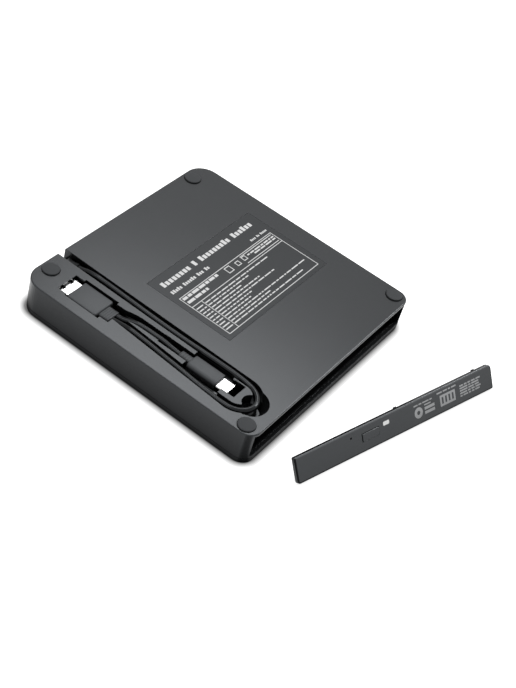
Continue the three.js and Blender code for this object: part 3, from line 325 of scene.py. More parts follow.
MOULDED_LOOKS = {
    "case_plastic": Look(
        grey(0.022), roughness=0.22, specular=0.33, grain_size=0.3, grain_depth=0.002
    ),
    # The cover paints deeper shade in its corners, so that its bay looks darker
    "cover_plastic": Look(
        grey(0.02), roughness=0.22, specular=0.33, grain_size=0.3, grain_depth=0.002, painted_shade_power=3
    ),
    "foot_rubber": Look(
        grey(0.034), roughness=0.62, specular=0.25, grain_size=0.25, grain_depth=0.012, mottle_share=0.1
    ),
    "label_film": Look(
        grey(0.026),
        roughness=0.3,
        specular=0.19,
        grain_size=0.2,
        grain_depth=0.001,
        mottle_share=0.03,
        edge=0.03,
    ),
    "label_ink": Look(
        colour=(0.62, 0.62, 0.62),
        roughness=0.5,
        specular=0.4,
        grain_size=0.15,
        grain_depth=0.002,
        edge=0.01,
    ),
    "cord_jacket": Look(
        grey(0.003), roughness=0.13, specular=0.24, grain_size=0.6, grain_depth=0.003
    ),
    "plug_plastic": Look(
        grey(0.04), roughness=0.42, specular=0.38, grain_size=0.3, grain_depth=0.005
    ),
    "white_plastic": Look(
        colour=(0.8, 0.8, 0.78),
        roughness=0.4,
        specular=0.5,
        grain_size=0.3,
        grain_depth=0.003,
        painted_shade_power=0.5,
    ),
    "black_rubber": Look(
        grey(0.004), roughness=0.35, specular=0.2, grain_size=0.4, grain_depth=0.005
    ),
    "face_plastic": Look(
        grey(0.036), roughness=0.36, specular=0.36, grain_size=0.3, grain_depth=0.003
    ),
    # Painted shade on the loose plate's sides and lower edges
    "face_painted_shade": Look(
        grey(0.003), roughness=0.3, specular=0.1, grain_size=0.3, grain_depth=0.002
    ),
    # Painted highlight on the loose plate's upper rim
    "face_painted_highlight": Look(
        grey(0.08), roughness=0.25, specular=0.45, grain_size=0.3, grain_depth=0.002
    ),
    "plate_ink": Look(
        colour=(0.36, 0.365, 0.37),
        roughness=0.5,
        specular=0.4,
        grain_size=0.15,
        grain_depth=0.002,
        edge=0.01,
    ),
    "window_plastic": Look(
        colour=(0.86, 0.86, 0.85), roughness=0.3, specular=0.5, grain_size=0.3, grain_depth=0.002
    ),
    "circuit_board": Look(
        colour=(0.01, 0.1, 0.04), roughness=0.35, specular=0.5, grain_size=0.8, grain_depth=0.01
    ),
    "chip_plastic": Look(
        grey(0.02), roughness=0.55, specular=0.4, grain_size=0.2, grain_depth=0.008
    ),
    "pad_foam": Look(
        grey(0.015), roughness=0.9, specular=0.2, grain_size=0.5, grain_depth=0.08, mottle_share=0.2
    ),
}

# Nodes whose look differs from that of their material slot
NODE_LOOKS = {"top_cover": "cover_plastic"}

# Floor: its glow is least on the case's footprint and most a reach away from it, a painted shadow round the
# case that the case's walls also mirror.
# Reaches and gains are given along X and along Y. The camera sees a stronger glow than a mirror or glass
# does.
FLOOR_HALF = 3000
FLOOR_COLOUR = 0.75
# Painted contact shadow in the floor's colour: how far it reaches and how strongly
FLOOR_CORNER_DISTANCE = 5
FLOOR_CORNER_POWER = 1.8
FOOTPRINT_HALF = (72.9, 72.4)
FOOTPRINT_CORNER = 8
GLOW_POWER = 0.85
SEEN_GLOW = (0.02, 0.85)
SEEN_REACH = (4.6, 4.4)
MIRRORED_GLOW = (0.03, 0.42)
MIRRORED_REACH = (24, 14)
# Painted reflections: the mirrored glow is raised along Y, brightening the case's front, and the mirrored
# shade darkens the floor in a mirror near the case
MIRRORED_GAIN = (1, 1.9, 0)
MIRRORED_SHADE = (0, 1)
MIRRORED_SHADE_REACH = (1, 12)

# Painted dark strip of the mirrored floor off the case's front left corner, a painted dark reflection in
# that corner:
# its way, the cosines over which it darkens, and the share of light that is left in it
STRIP_WAY = (-0.669, -0.743, 0)
STRIP_COSINES = (0.89, 0.97)
STRIP_LIGHT_SHARE = 0.15

# World: its colour, and its strength as a light and as the camera, mirrors and glass see it
WORLD_COLOUR = (1, 1, 1, 1)
WORLD_STRENGTH = (0.6, 1)

# Lamps
LAMP_DISTANCE = 1500


@dataclass
class Lamp:
    """An area lamp that faces the origin, with its length along Y or turned from there by some degrees."""

    direction: tuple
    size: tuple
    power: float
    turn: float = 0


LAMPS = {
    "key": Lamp(direction=(-0.14, 0.27, 0.95), size=(600, 600), power=4.2),
    "sheen": Lamp(direction=(0.539, 0.3, 0.795), size=(384, 520), power=3.63, turn=12),
    "rim": Lamp(direction=(0.667, -0.25, 0.7), size=(300, 400), power=6.5),
}


# Geometry helpers
def scaled(point):
    return Vector(point) * MM


def box_in_mm(node):
    """A node's lowest and highest corners at rest, in millimetres."""
    low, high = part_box(node)
    return low / MM, high / MM


def add_object(name, data, body, replaced=()):
    obj = bpy.data.objects.new(name, data)
    bpy.context.scene.collection.objects.link(obj)
    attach(obj, body)
    if replaced:
        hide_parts(*replaced)
    return obj


def add_mesh(name, mesh, material, body, replaced=()):
    """Turns finished mesh work into a piece, smooth but for its real edges."""
    bmesh.ops.recalc_face_normals(mesh, faces=mesh.faces[:])
    data = bpy.data.meshes.new(name)
    mesh.to_mesh(data)
    mesh.free()
    data.shade_smooth()
    data.set_sharp_from_angle(angle=SMOOTH_ANGLE)
    data.materials.append(material)
    return add_object(name, data, body, replaced)


def merge_points(mesh):
    bmesh.ops.remove_doubles(mesh, verts=mesh.verts[:], dist=MERGE_DISTANCE * MM)


def skin(mesh, near, far):
    """Faces between two rings of equal point count."""
    faces = []
    for index, corner in enumerate(near):
        after = (index + 1) % len(near)
        faces.append(mesh.faces.new((corner, near[after], far[after], far[index])))
    return faces


def loft(mesh, sections):
    """A skin over sections of equal point count, closed at both ends."""
    rings = [[mesh.verts.new(scaled(point)) for point in section] for section in sections]
    for near, far in zip(rings, rings[1:]):
        skin(mesh, near, far)
    mesh.faces.new(rings[0])
    mesh.faces.new(rings[-1])


def slab(mesh, low, high):
    """A closed flat block between two corners."""
    low = scaled(low)
    high = scaled(high)
    size = high - low
    matrix = Matrix.Translation((low + high) / 2) @ Matrix.Diagonal((*size, 1))
    bmesh.ops.create_cube(mesh, size=1, matrix=matrix)


def circle(x, y, radius, sides):
    """Points round a circle, as places along X and Y."""
    turns = [2 * math.pi * side / sides for side in range(sides)]
    return [(x + radius * math.cos(turn), y + radius * math.sin(turn)) for turn in turns]


def bar_section(x, y, z, width, height, corner, seam):
    """The outline of a rounded bar at a place along Y, with a seam groove at mid height."""
    right = width / 2
    top = height / 2
    flank = SEAM_WIDTH / 2
    points = [(right, -flank), (right - seam, 0), (right, flank)]
    middles = [
        (right - corner, top - corner),
        (corner - right, top - corner),
        (corner - right, corner - top),
        (right - corner, corner - top),
    ]
    for quarter, (middle_x, middle_z) in enumerate(middles):
        for step in range(CORNER_STEPS + 1):
            angle = (quarter + step / CORNER_STEPS) * math.pi / 2
            points.append((middle_x + corner * math.cos(angle), middle_z + corner * math.sin(angle)))
        if quarter == 1:
            points += [(-right, flank), (seam - right, 0), (-right, -flank)]
    return [(x + along, y, z + up) for along, up in points]


def rounded_end(radius):
    """Steps over a rounded edge, as how far in from the end's face and how far in from the side."""
    steps = []
    for step in range(ROUND_STEPS + 1):
        angle = step / ROUND_STEPS * math.pi / 2
        steps.append((radius * (1 - math.cos(angle)), radius * (1 - math.sin(angle))))
    return steps


def rounded_start(radius):
    """The same steps from the side to the end's face."""
    return rounded_end(radius)[::-1]


# Camera
def make_camera():
    data = bpy.data.cameras.new("camera")
    data.lens = CAMERA_LENS
    data.sensor_width = CAMERA_SENSOR
    camera = bpy.data.objects.new("camera", data)
    turn = Euler([math.radians(angle) for angle in CAMERA_TURN])
    camera.matrix_world = Matrix.LocRotScale(scaled(CAMERA_PLACE), turn, None)
    bpy.context.scene.collection.objects.link(camera)
    bpy.context.scene.camera = camera


# Shader nodes
def noise_node(tree, place, scale, detail):
    node = tree.nodes.new("ShaderNodeTexNoise")
    node.inputs["Scale"].default_value = scale
    node.inputs["Detail"].default_value = detail
    tree.links.new(place, node.inputs["Vector"])
    return node.outputs["Fac"]


def range_node(tree, source, reached, given=(0, 1), curve="LINEAR"):
    """Carries the given range over to the range that is reached, and holds the result within that."""
    node = tree.nodes.new("ShaderNodeMapRange")
    node.interpolation_type = curve
    node.inputs["From Min"].default_value, node.inputs["From Max"].default_value = given
    node.inputs["To Min"].default_value, node.inputs["To Max"].default_value = reached
    tree.links.new(source, node.inputs["Value"])
    return node.outputs["Result"]


def math_node(tree, operation, first, second):
    """A maths node whose inputs are outputs of other nodes or plain numbers."""
    node = tree.nodes.new("ShaderNodeMath")
    node.operation = operation
    for socket, value in zip(node.inputs, (first, second)):
        if isinstance(value, (int, float)):
            socket.default_value = value
        else:
            tree.links.new(value, socket)
    return node.outputs["Value"]


def vector_node(tree, operation, first, second=None):
    """A vector maths node, whose second input is another node's output or a plain vector."""
    node = tree.nodes.new("ShaderNodeVectorMath")
    node.operation = operation
    tree.links.new(first, node.inputs[0])
    if isinstance(second, tuple):
        node.inputs[1].default_value = second
    elif second:
        tree.links.new(second, node.inputs[1])
    return node.outputs["Value" if operation in ("LENGTH", "DOT_PRODUCT") else "Vector"]


def mix_colours(tree, factor, first, second):
    node = tree.nodes.new("ShaderNodeMix")
    node.data_type = "RGBA"
    node.inputs["A"].default_value = (*first, 1)
    node.inputs["B"].default_value = (*second, 1)
    tree.links.new(factor, node.inputs["Factor"])
    return node.outputs["Result"]


def shaded_colour(tree, colour, shade):
    """A colour made darker by a shade between 0 and 1."""
    node = tree.nodes.new("ShaderNodeVectorMath")
    node.operation = "SCALE"
    tree.links.new(colour, node.inputs["Vector"])
    tree.links.new(shade, node.inputs["Scale"])
    return node.outputs["Vector"]


def painted_corner_shade(tree, distance, power):
    """1 on open faces, falling in corners and grooves: the painted shade that darkens a colour there."""
    node = tree.nodes.new("ShaderNodeAmbientOcclusion")
    node.samples = CORNER_SAMPLES
    node.inputs["Distance"].default_value = distance * MM
    return math_node(tree, "POWER", node.outputs["AO"], power)


def grained_normal(tree, grain, depth, edge_radius):
    """The way that a surface faces, with softened edges and a fine grain."""
    edge = tree.nodes.new("ShaderNodeBevel")
    edge.samples = EDGE_SAMPLES
    edge.inputs["Radius"].default_value = edge_radius * MM
    bump = tree.nodes.new("ShaderNodeBump")
    bump.inputs["Distance"].default_value = depth * MM
    tree.links.new(grain, bump.inputs["Height"])
    tree.links.new(edge.outputs["Normal"], bump.inputs["Normal"])
    return bump.outputs["Normal"]


def ray_kinds(tree):
    """Two outputs: 1 for what the camera sees, and 1 for what is seen in a mirror or through glass."""
    path = tree.nodes.new("ShaderNodeLightPath").outputs
    mirrored = math_node(tree, "MAXIMUM", path["Is Glossy Ray"], path["Is Transmission Ray"])
    return path["Is Camera Ray"], mirrored


# Materials
def new_material(name):
    material = bpy.data.materials.new(name)
    material.use_nodes = True
    tree = material.node_tree
    place = tree.nodes.new("ShaderNodeTexCoord").outputs["Object"]
    return material, tree, tree.nodes["Principled BSDF"], place


def moulded(name, look):
    """A moulded surface, with clouds in its colour, painted shade in its corners and grooves, and a grain
    in its gloss and its height.
    """
    material, tree, shader, place = new_material(name)
    shader.inputs["Specular IOR Level"].default_value = look.specular
    shader.inputs["Specular Tint"].default_value = SHEEN_TINT
    cloud = noise_node(tree, place, CLOUD_SCALE, CLOUD_DETAIL)
    dark = [channel * (1 - look.mottle_share) for channel in look.colour]
    light = [channel * (1 + look.mottle_share) for channel in look.colour]
    # Painted shade: the colour darkens in corners and grooves
    shade = painted_corner_shade(tree, CORNER_DISTANCE, look.painted_shade_power)
    tint = shaded_colour(tree, mix_colours(tree, cloud, dark, light), shade)
    tree.links.new(tint, shader.inputs["Base Color"])
    grain = noise_node(tree, place, 1 / (look.grain_size * MM), GRAIN_DETAIL)
    gloss = (look.roughness - look.gloss_spread, look.roughness + look.gloss_spread)
    tree.links.new(range_node(tree, grain, gloss), shader.inputs["Roughness"])
    normal = grained_normal(tree, grain, look.grain_depth, look.edge)
    tree.links.new(normal, shader.inputs["Normal"])
    return material


def metal(name, colour, roughness):
    """Plated or drawn metal with faint lines along Y, and painted shade that turns it black where it is
    deeply shut in.
    """
    material, tree, shader, place = new_material(name)
    shader.inputs["Metallic"].default_value = 1
    stretch = tree.nodes.new("ShaderNodeMapping")
    stretch.inputs["Scale"].default_value = DRAW_LINE_SCALE
    tree.links.new(place, stretch.inputs["Vector"])
    lines = noise_node(tree, stretch.outputs["Vector"], scale=1, detail=GRAIN_DETAIL)
    gloss = (roughness * (1 - METAL_GLOSS_SHARE), roughness * (1 + METAL_GLOSS_SHARE))
    tree.links.new(range_node(tree, lines, gloss), shader.inputs["Roughness"])
    worn = [channel * METAL_TINT_SHARE for channel in colour]
    # Painted shade: black where the metal is deeply shut in
    shade = painted_corner_shade(tree, METAL_CORNER_DISTANCE, METAL_CORNER_POWER)
    shade = range_node(tree, shade, (0, 1), METAL_SHADE_RANGE)
    tint = shaded_colour(tree, mix_colours(tree, lines, worn, colour), shade)
    tree.links.new(tint, shader.inputs["Base Color"])
    return material


def make_looks():
    looks = {name: moulded(name, look) for name, look in MOULDED_LOOKS.items()}
    looks["plated_steel"] = metal("plated_steel", STEEL_COLOUR, STEEL_ROUGHNESS)
    looks["contact_metal"] = metal("contact_metal", CONTACT_COLOUR, CONTACT_ROUGHNESS)
    return looks


def dress_nodes(looks):
    """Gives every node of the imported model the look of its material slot, or one of its own."""
    slots = {entry["node"]: entry["material_slot"] for entry in frame["record"]["subparts"]}
    for name, obj in frame["nodes"].items():
        obj.data.materials.clear()
        obj.data.materials.append(looks[NODE_LOOKS.get(name, slots[name])])


# Lead
def make_cord(name, route, material, node):
    curve = bpy.data.curves.new(name, "CURVE")
    curve.dimensions = "3D"
    curve.bevel_depth = CORD_DIAMETER / 2 * MM
    curve.bevel_resolution = CORD_ROUND_STEPS
    curve.resolution_u = CORD_CURVE_STEPS
    curve.use_fill_caps = True
    spline = curve.splines.new("BEZIER")
    spline.bezier_points.add(len(route) - 1)
    for point, place in zip(spline.bezier_points, route):
        point.co = scaled(place)
        point.handle_left_type = "AUTO"
        point.handle_right_type = "AUTO"
    curve.materials.append(material)
    return add_object(name, curve, CASE_BODY, [node])


# Plugs
def body_rings(plug):
    """A plug body from its socket to the lead, as distance, width, height, corner, rise and seam."""
    rings = []
    for distance in (plug.socket_depth, 0):
        rings.append((distance, plug.socket_width, plug.socket_height, plug.socket_corner, 0, 0))
    steps = rounded_end(plug.mouth_round)
    steps += [(plug.length - along, inset) for along, inset in rounded_start(plug.lead_round)]
    for distance, inset in steps:
        width = plug.width - 2 * inset
        height = plug.height - 2 * inset
        rings.append((distance, width, height, plug.corner, 0, SEAM_DEPTH))
    return rings


def relief_rings(plug):
    """The strain relief in the same terms: ridges and grooves by turns, the last ridge with a round end."""
    count = 2 * plug.ridge_count + 1
    pitch = plug.relief_length / count
    steps = []
    for index in range(count):
        inset = plug.ridge_depth * (index % 2)
        start = plug.length + index * pitch
        steps += [(start, inset), (start + pitch, inset)]
    steps.pop()
    end = plug.length + plug.relief_length
    steps += [(end - along, inset) for along, inset in rounded_start(plug.relief_round)]
    rise = (plug.height - plug.relief_height) / 2 - plug.relief_drop
    rings = []
    for distance, inset in steps:
        width = plug.relief_width - 2 * inset
        height = plug.relief_height - 2 * inset
        rings.append((distance, width, height, plug.relief_corner, rise, 0))
    return rings


def make_plug_body(name, node, plug, material):
    """One skin from the bottom of the socket, over the body and along the ridged strain relief."""
    low, high = box_in_mm(node)
    x = (low.x + high.x) / 2
    z = low.z + plug.height / 2
    mouth_y = low.y if plug.mouth_in_front else high.y
    inward = 1 if plug.mouth_in_front else -1
    sections = []
    for distance, width, height, corner, rise, seam in body_rings(plug) + relief_rings(plug):
        y = mouth_y + inward * distance
        sections.append(bar_section(x, y, z + rise, width, height, corner, seam))
    mesh = bmesh.new()
    loft(mesh, sections)
    merge_points(mesh)
    return add_mesh(name, mesh, material, CASE_BODY, [node])


# Feet
def make_foot(name, node, material):
    """A turned foot: straight flank, rounded rim and a slightly crowned face."""
    low, high = box_in_mm(node)
    x = (low.x + high.x) / 2
    y = (low.y + high.y) / 2
    radius = (high.x - low.x) / 2
    rim = high.z - FOOT_CROWN
    profile = [(radius, low.z)]
    profile += [(radius - inset, rim - along) for along, inset in rounded_start(FOOT_EDGE_ROUND)]
    flat = radius - FOOT_EDGE_ROUND
    for step in range(1, FOOT_CROWN_STEPS + 1):
        share = 1 - step / (FOOT_CROWN_STEPS + 1)
        profile.append((flat * share, rim + FOOT_CROWN * (1 - share * share)))
    sections = []
    for reach, height in profile:
        sections.append([(*point, height) for point in circle(x, y, reach, FOOT_SIDES)])
    mesh = bmesh.new()
    loft(mesh, sections)
    return add_mesh(name, mesh, material, CASE_BODY, [node])


# Prints
def ink(mesh, x, y, width, height):
    """One flat block of ink, from its lower left corner, a little sunk in what it is printed on."""
    slab(mesh, (x, y, INK_PROUD - INK_THICKNESS), (x + width, y + height, INK_PROUD))


def print_words(mesh, row, letter_counts, chance):
    """Words as blocks of a letter's size, tall and short, spread over the row."""
    start, end, y, height = row
    pitches = sum(letter_counts) * LETTER_PITCH_SHARE + (len(letter_counts) - 1) * WORD_GAP_SHARE
    unit = (end - start) / pitches
    x = start
    for count in letter_counts:
        for index in range(count):
            tall = index == 0 or chance.random() > SHORT_LETTER_SHARE
            letter_height = height if tall else height * SHORT_HEIGHT_SHARE
            ink(mesh, x, y, unit * LETTER_PITCH_SHARE * LETTER_WIDTH_SHARE, letter_height)
            x += unit * LETTER_PITCH_SHARE
        x += unit * WORD_GAP_SHARE


def print_fine_row(mesh, start, end, y, height, chance):
    """A row of fine print, one block a word."""
    x = start
    while x < end - FINE_WORD_LEAST:
        width = min(chance.uniform(FINE_WORD_LEAST, FINE_WORD_MOST), end - x)
        ink(mesh, x, y, width, height)
        x += width + FINE_WORD_GAP


def print_frame(mesh, x, y, width, height, line):
    """A frame of four lines inside a rectangle."""
    ink(mesh, x, y, width, line)
    ink(mesh, x, y + height - line, width, line)
    ink(mesh, x, y + line, line, height - 2 * line)
    ink(mesh, x + width - line, y + line, line, height - 2 * line)


def print_ring(mesh, x, y, outer, inner):
    """A flat ring of ink with closed sides."""
    low = INK_PROUD - INK_THICKNESS
    profile = [(outer, low), (outer, INK_PROUD), (inner, INK_PROUD), (inner, low)]
    rings = []
    for radius, z in profile:
        points = circle(x, y, radius, RING_SIDES)
        rings.append([mesh.verts.new(scaled((*point, z))) for point in points])
    for near, far in zip(rings, rings[1:] + rings[:1]):
        skin(mesh, near, far)


def print_label_box(mesh, chance):
    """The label's frame with its rules, and the fine rows in it, each with a short key before its rule."""
    width = FRAME_HIGH[0] - FRAME_LOW[0]
    height = FRAME_HIGH[1] - FRAME_LOW[1]
    print_frame(mesh, *FRAME_LOW, width, height, FRAME_LINE)
    ink(mesh, FRAME_LOW[0] + FRAME_LINE, FRAME_RULE_Y, width - 2 * FRAME_LINE, FRAME_LINE)
    column = FRAME_RULE_Y - FRAME_LOW[1] - FRAME_LINE
    ink(mesh, COLUMN_RULE_X, FRAME_LOW[1] + FRAME_LINE, FRAME_LINE, column)
    for start, end, y, row_height in BOLD_ROWS + SIDE_ROWS:
        print_fine_row(mesh, start, end, y, row_height, chance)
    for start, end, y in SIDE_RULES:
        ink(mesh, start, y, end - start, SIDE_RULE_LINE)
    for x, y, size in MARK_PLACES:
        print_frame(mesh, x, y, size, size, MARK_LINE)
    for index in range(FINE_ROW_COUNT):
        y = FINE_ROW_TOP - index * FINE_ROW_PITCH
        share = FINE_ROW_LEAST_SHARE + (1 - FINE_ROW_LEAST_SHARE) * chance.random()
        end = FINE_ROW_START + (FINE_ROW_END - FINE_ROW_START) * share
        print_fine_row(mesh, FINE_ROW_START, end, y, FINE_ROW_HEIGHT, chance)
        print_fine_row(mesh, FINE_KEY_START, FINE_KEY_END, y, FINE_ROW_HEIGHT, chance)


def make_label_print(material):
    """Title, second line and small line over a frame with rules, rows and three plain marks."""
    chance = random.Random(PRINT_SEED)
    mesh = bmesh.new()
    print_words(mesh, TITLE_ROW, TITLE_WORDS, chance)
    print_words(mesh, SECOND_ROW, SECOND_WORDS, chance)
    print_words(mesh, SMALL_ROW, SMALL_WORDS, chance)
    print_label_box(mesh, chance)
    low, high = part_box("rating_label")
    middle = (low + high) / 2
    mesh.transform(Matrix.Translation((middle.x, middle.y, high.z)))
    return add_mesh("label_print", mesh, material, CASE_BODY)


def plate_frame():
    """From the loose plate's own frame, along it, up it and out of its face, to the model's."""
    turn = Matrix.Rotation(PLATE_YAW, 4, "Z") @ Matrix.Rotation(math.pi / 2 - PLATE_LEAN, 4, "X")
    return Matrix.Translation(scaled(PLATE_PLACE)) @ turn


def print_columns(mesh):
    """A block of ink with open columns in it."""
    x, y = BLOCK_PLACE
    width, height = BLOCK_SIZE
    print_frame(mesh, x, y, width, height, BLOCK_RIM)
    pitch = (width - 2 * BLOCK_RIM) / (2 * BLOCK_COLUMNS - 1)
    for index in range(1, 2 * BLOCK_COLUMNS - 1, 2):
        ink(mesh, x + BLOCK_RIM + index * pitch, y + BLOCK_RIM, pitch, height - 2 * BLOCK_RIM)


def print_plate_rows(mesh, chance):
    x, y = ROWS_PLACE
    width, height = ROWS_SIZE
    pitch = height / ROWS_COUNT
    for index in range(ROWS_COUNT):
        print_fine_row(mesh, x, x + width, y + index * pitch, pitch * ROW_SHARE, chance)


def make_plate_print(material):
    """A plain ring with bars, a block with open columns under a caption, and rows of fine print."""
    chance = random.Random(PRINT_SEED)
    mesh = bmesh.new()
    print_ring(mesh, *RING_MIDDLE, RING_RADIUS, RING_HOLE_RADIUS)
    for bar in RING_BARS:
        ink(mesh, *bar)
    for x, y, width, height in (RING_CAPTION, BLOCK_CAPTION):
        print_fine_row(mesh, x, x + width, y, height, chance)
    print_columns(mesh)
    print_plate_rows(mesh, chance)
    mesh.transform(plate_frame())
    return add_mesh("front_plate_print", mesh, material, PLATE_BODY)


# Loose front plate
def open_rings(mesh):
    """The mesh's open edges as rings of vertices, each seen from above running anticlockwise."""
    near = {}
    for edge in mesh.edges:
        if edge.is_boundary:
            for vertex in edge.verts:
                near.setdefault(vertex, []).append(edge.other_vert(vertex))
    rings = []
    while near:
        ring = [next(iter(near))]
        while ring[-1] in near:
            ring += [vertex for vertex in near.pop(ring[-1]) if vertex in near][:1]
        twist = sum(a.co.x * b.co.y - b.co.x * a.co.y for a, b in zip(ring, ring[1:] + ring[:1]))
        rings.append(ring if twist > 0 else ring[::-1])
    return rings


def inset_steps(ring):
    """For each corner of a ring that runs round its middle, the move that sets it one unit inwards."""
    steps = []
    for before, corner, after in zip([ring[-1]] + ring[:-1], ring, ring[1:] + ring[:1]):
        inwards = []
        for near, far in ((before, corner), (corner, after)):
            run = (far.co - near.co).normalized()
            inwards.append(Vector((-run.y, run.x, 0)))
        both = inwards[0] + inwards[1]
        steps.append(both / (1 + inwards[0].dot(inwards[1])))
    return steps


def inset_ring(mesh, ring, moves, depth, inset):
    """A new ring inside the given one, at a depth below the plate's face."""
    places = [corner.co + move * (inset * MM) for corner, move in zip(ring, moves)]
    return [mesh.verts.new((place.x, place.y, -depth * MM)) for place in places]


def plate_copy(node):
    """A copy of one of the loose plate's nodes in the plate's own frame."""
    mesh = bmesh.new()
    mesh.from_mesh(frame["nodes"][node].data)
    mesh.transform(plate_frame().inverted())
    merge_points(mesh)
    return mesh


def add_plate_piece(name, mesh, looks, node):
    """A piece of the loose plate, satin with painted shade on its edges and a painted highlight on its rim,
    and flat where it is level.
    """
    bmesh.ops.recalc_face_normals(mesh, faces=mesh.faces[:])
    mesh.normal_update()
    flat = [abs(face.normal.z) > FLAT_STEEPNESS for face in mesh.faces]
    mesh.transform(plate_frame())
    piece = add_mesh(name, mesh, looks["face_plastic"], PLATE_BODY, [node])
    piece.data.materials.append(looks["face_painted_shade"])
    piece.data.materials.append(looks["face_painted_highlight"])
    for polygon, is_flat in zip(piece.data.polygons, flat):
        polygon.use_smooth = not is_flat
    return piece


def shorten_hooks(mesh):
    """Draws the hooks' tips in towards the plate's back."""
    for vertex in mesh.verts:
        if vertex.co.y > HOOK_LOW * MM:
            vertex.co.z = max(vertex.co.z, -(PLATE_DEPTH + HOOK_LENGTH) * MM)


def paint_shade_on_upper_side(mesh):
    """Gives the faces of the plate's long upper side painted shade."""
    for face in mesh.faces:
        middle = face.calc_center_median() / MM
        if middle.y > PLATE_HEIGHT - LEVEL_MARGIN and middle.z > -PLATE_DEPTH:
            face.material_index = PAINTED_SHADE_LOOK


def close_front(mesh):
    """Closes the cut front: a round outer rim, straight sides to its openings and a level face."""
    rim_profile = rounded_start(RIM_ROUND)[1:] + [(0, RIM_ROUND + RIM_BAND)]
    rings = open_rings(mesh)
    rim = max(rings, key=lambda ring: max(vertex.co.x for vertex in ring))
    last_edges = []
    for ring in rings:
        moves = inset_steps(ring)
        near = ring
        for depth, inset in rim_profile if ring is rim else [(0, 0)]:
            far = inset_ring(mesh, ring, moves, depth, inset)
            for face, move in zip(skin(mesh, near, far), moves):
                # The rim's upper edge gets a painted highlight, its other edges painted shade
                if ring is rim:
                    face.material_index = PAINTED_HIGHLIGHT_LOOK if move.y < -RIM_TURN else PAINTED_SHADE_LOOK
            near = far
        last_edges += [mesh.edges.get((a, b)) for a, b in zip(near, near[1:] + near[:1])]
    bmesh.ops.triangle_fill(mesh, use_beauty=True, use_dissolve=False, edges=last_edges)


def make_face_plate(node, looks):
    """The plate with a wider round rim, shorter hooks and painted shade on its upper side."""
    mesh = plate_copy(node)
    everything = mesh.verts[:] + mesh.edges[:] + mesh.faces[:]
    cut = Vector((0, 0, -RIM_ROUND * MM))
    bmesh.ops.bisect_plane(mesh, geom=everything, plane_co=cut, plane_no=(0, 0, 1), clear_outer=True)
    shorten_hooks(mesh)
    paint_shade_on_upper_side(mesh)
    close_front(mesh)
    return add_plate_piece("front_plate_face", mesh, looks, node)


def make_button(node, looks):
    """The button, close to the plate below and at its right, with a bevel along its upper edge that carries
    a painted highlight.
    """
    mesh = plate_copy(node)
    cap = [vertex for vertex in mesh.verts if vertex.co.z > -BUTTON_CAP_DEPTH * MM]
    middle_x = sum(vertex.co.x for vertex in cap) / len(cap)
    middle_y = sum(vertex.co.y for vertex in cap) / len(cap)
    for vertex in cap:
        if vertex.co.x > middle_x:
            vertex.co.x += BUTTON_GROW * MM
        if vertex.co.y < middle_y:
            vertex.co.y -= BUTTON_GROW * MM
        elif vertex.co.z > 0:
            vertex.co.y -= BUTTON_BEVEL * MM
    mesh.normal_update()
    # Bevel faces that point up the plate get a painted highlight
    for face in mesh.faces:
        if SIDE_STEEPNESS < face.normal.z < RIM_STEEPNESS and face.normal.y > SIDE_STEEPNESS:
            face.material_index = PAINTED_HIGHLIGHT_LOOK
    return add_plate_piece("front_plate_button", mesh, looks, node)


# Floor, world and lamps
def corner_middle():
    """The middle of the footprint's round corner at the right rear, on the floor."""
    return tuple((half - FOOTPRINT_CORNER) * MM for half in FOOTPRINT_HALF) + (0,)


def fade_node(tree, place, reach, glow, gain=None):
    """A glow that is least on the case's round-cornered footprint and most a given reach away from it: a
    painted shadow.
    """
    out = vector_node(tree, "ABSOLUTE", place)
    out = vector_node(tree, "SUBTRACT", out, corner_middle())
    out = vector_node(tree, "MAXIMUM", out, (0, 0, 0))
    way = vector_node(tree, "NORMALIZE", out)
    shares = vector_node(tree, "MULTIPLY", way, way)
    reach_here = vector_node(tree, "DOT_PRODUCT", shares, (reach[0] * MM, reach[1] * MM, 0))
    distance = math_node(tree, "SUBTRACT", vector_node(tree, "LENGTH", out), FOOTPRINT_CORNER * MM)
    away = math_node(tree, "DIVIDE", math_node(tree, "MAXIMUM", distance, 0), reach_here)
    fade = range_node(tree, math_node(tree, "POWER", away, GLOW_POWER), glow)
    if gain is None:
        return fade
    return math_node(tree, "MULTIPLY", fade, vector_node(tree, "DOT_PRODUCT", shares, gain))


def strip_node(tree, place):
    """1, but low on the floor that the case's front left corner mirrors, so that this corner shows a
    painted dark reflection.
    """
    centre = tuple(-side for side in corner_middle())
    way = vector_node(tree, "NORMALIZE", vector_node(tree, "SUBTRACT", place, centre))
    cosine = vector_node(tree, "DOT_PRODUCT", way, STRIP_WAY)
    return range_node(tree, cosine, (1, STRIP_LIGHT_SHARE), STRIP_COSINES, "SMOOTHSTEP")


def floor_glow(tree, place, strip):
    """How much light the floor gives off: most for the camera, less for a mirror, and none otherwise, with
    painted shadow and painted reflections near the case.
    """
    seen, mirrored = ray_kinds(tree)
    seen_fade = fade_node(tree, place, SEEN_REACH, SEEN_GLOW)
    mirrored_fade = fade_node(tree, place, MIRRORED_REACH, MIRRORED_GLOW, MIRRORED_GAIN)
    mirrored_fade = math_node(tree, "MULTIPLY", mirrored_fade, strip)
    seen_glow = math_node(tree, "MULTIPLY", seen, seen_fade)
    mirrored_glow = math_node(tree, "MULTIPLY", mirrored, mirrored_fade)
    return math_node(tree, "ADD", seen_glow, mirrored_glow)


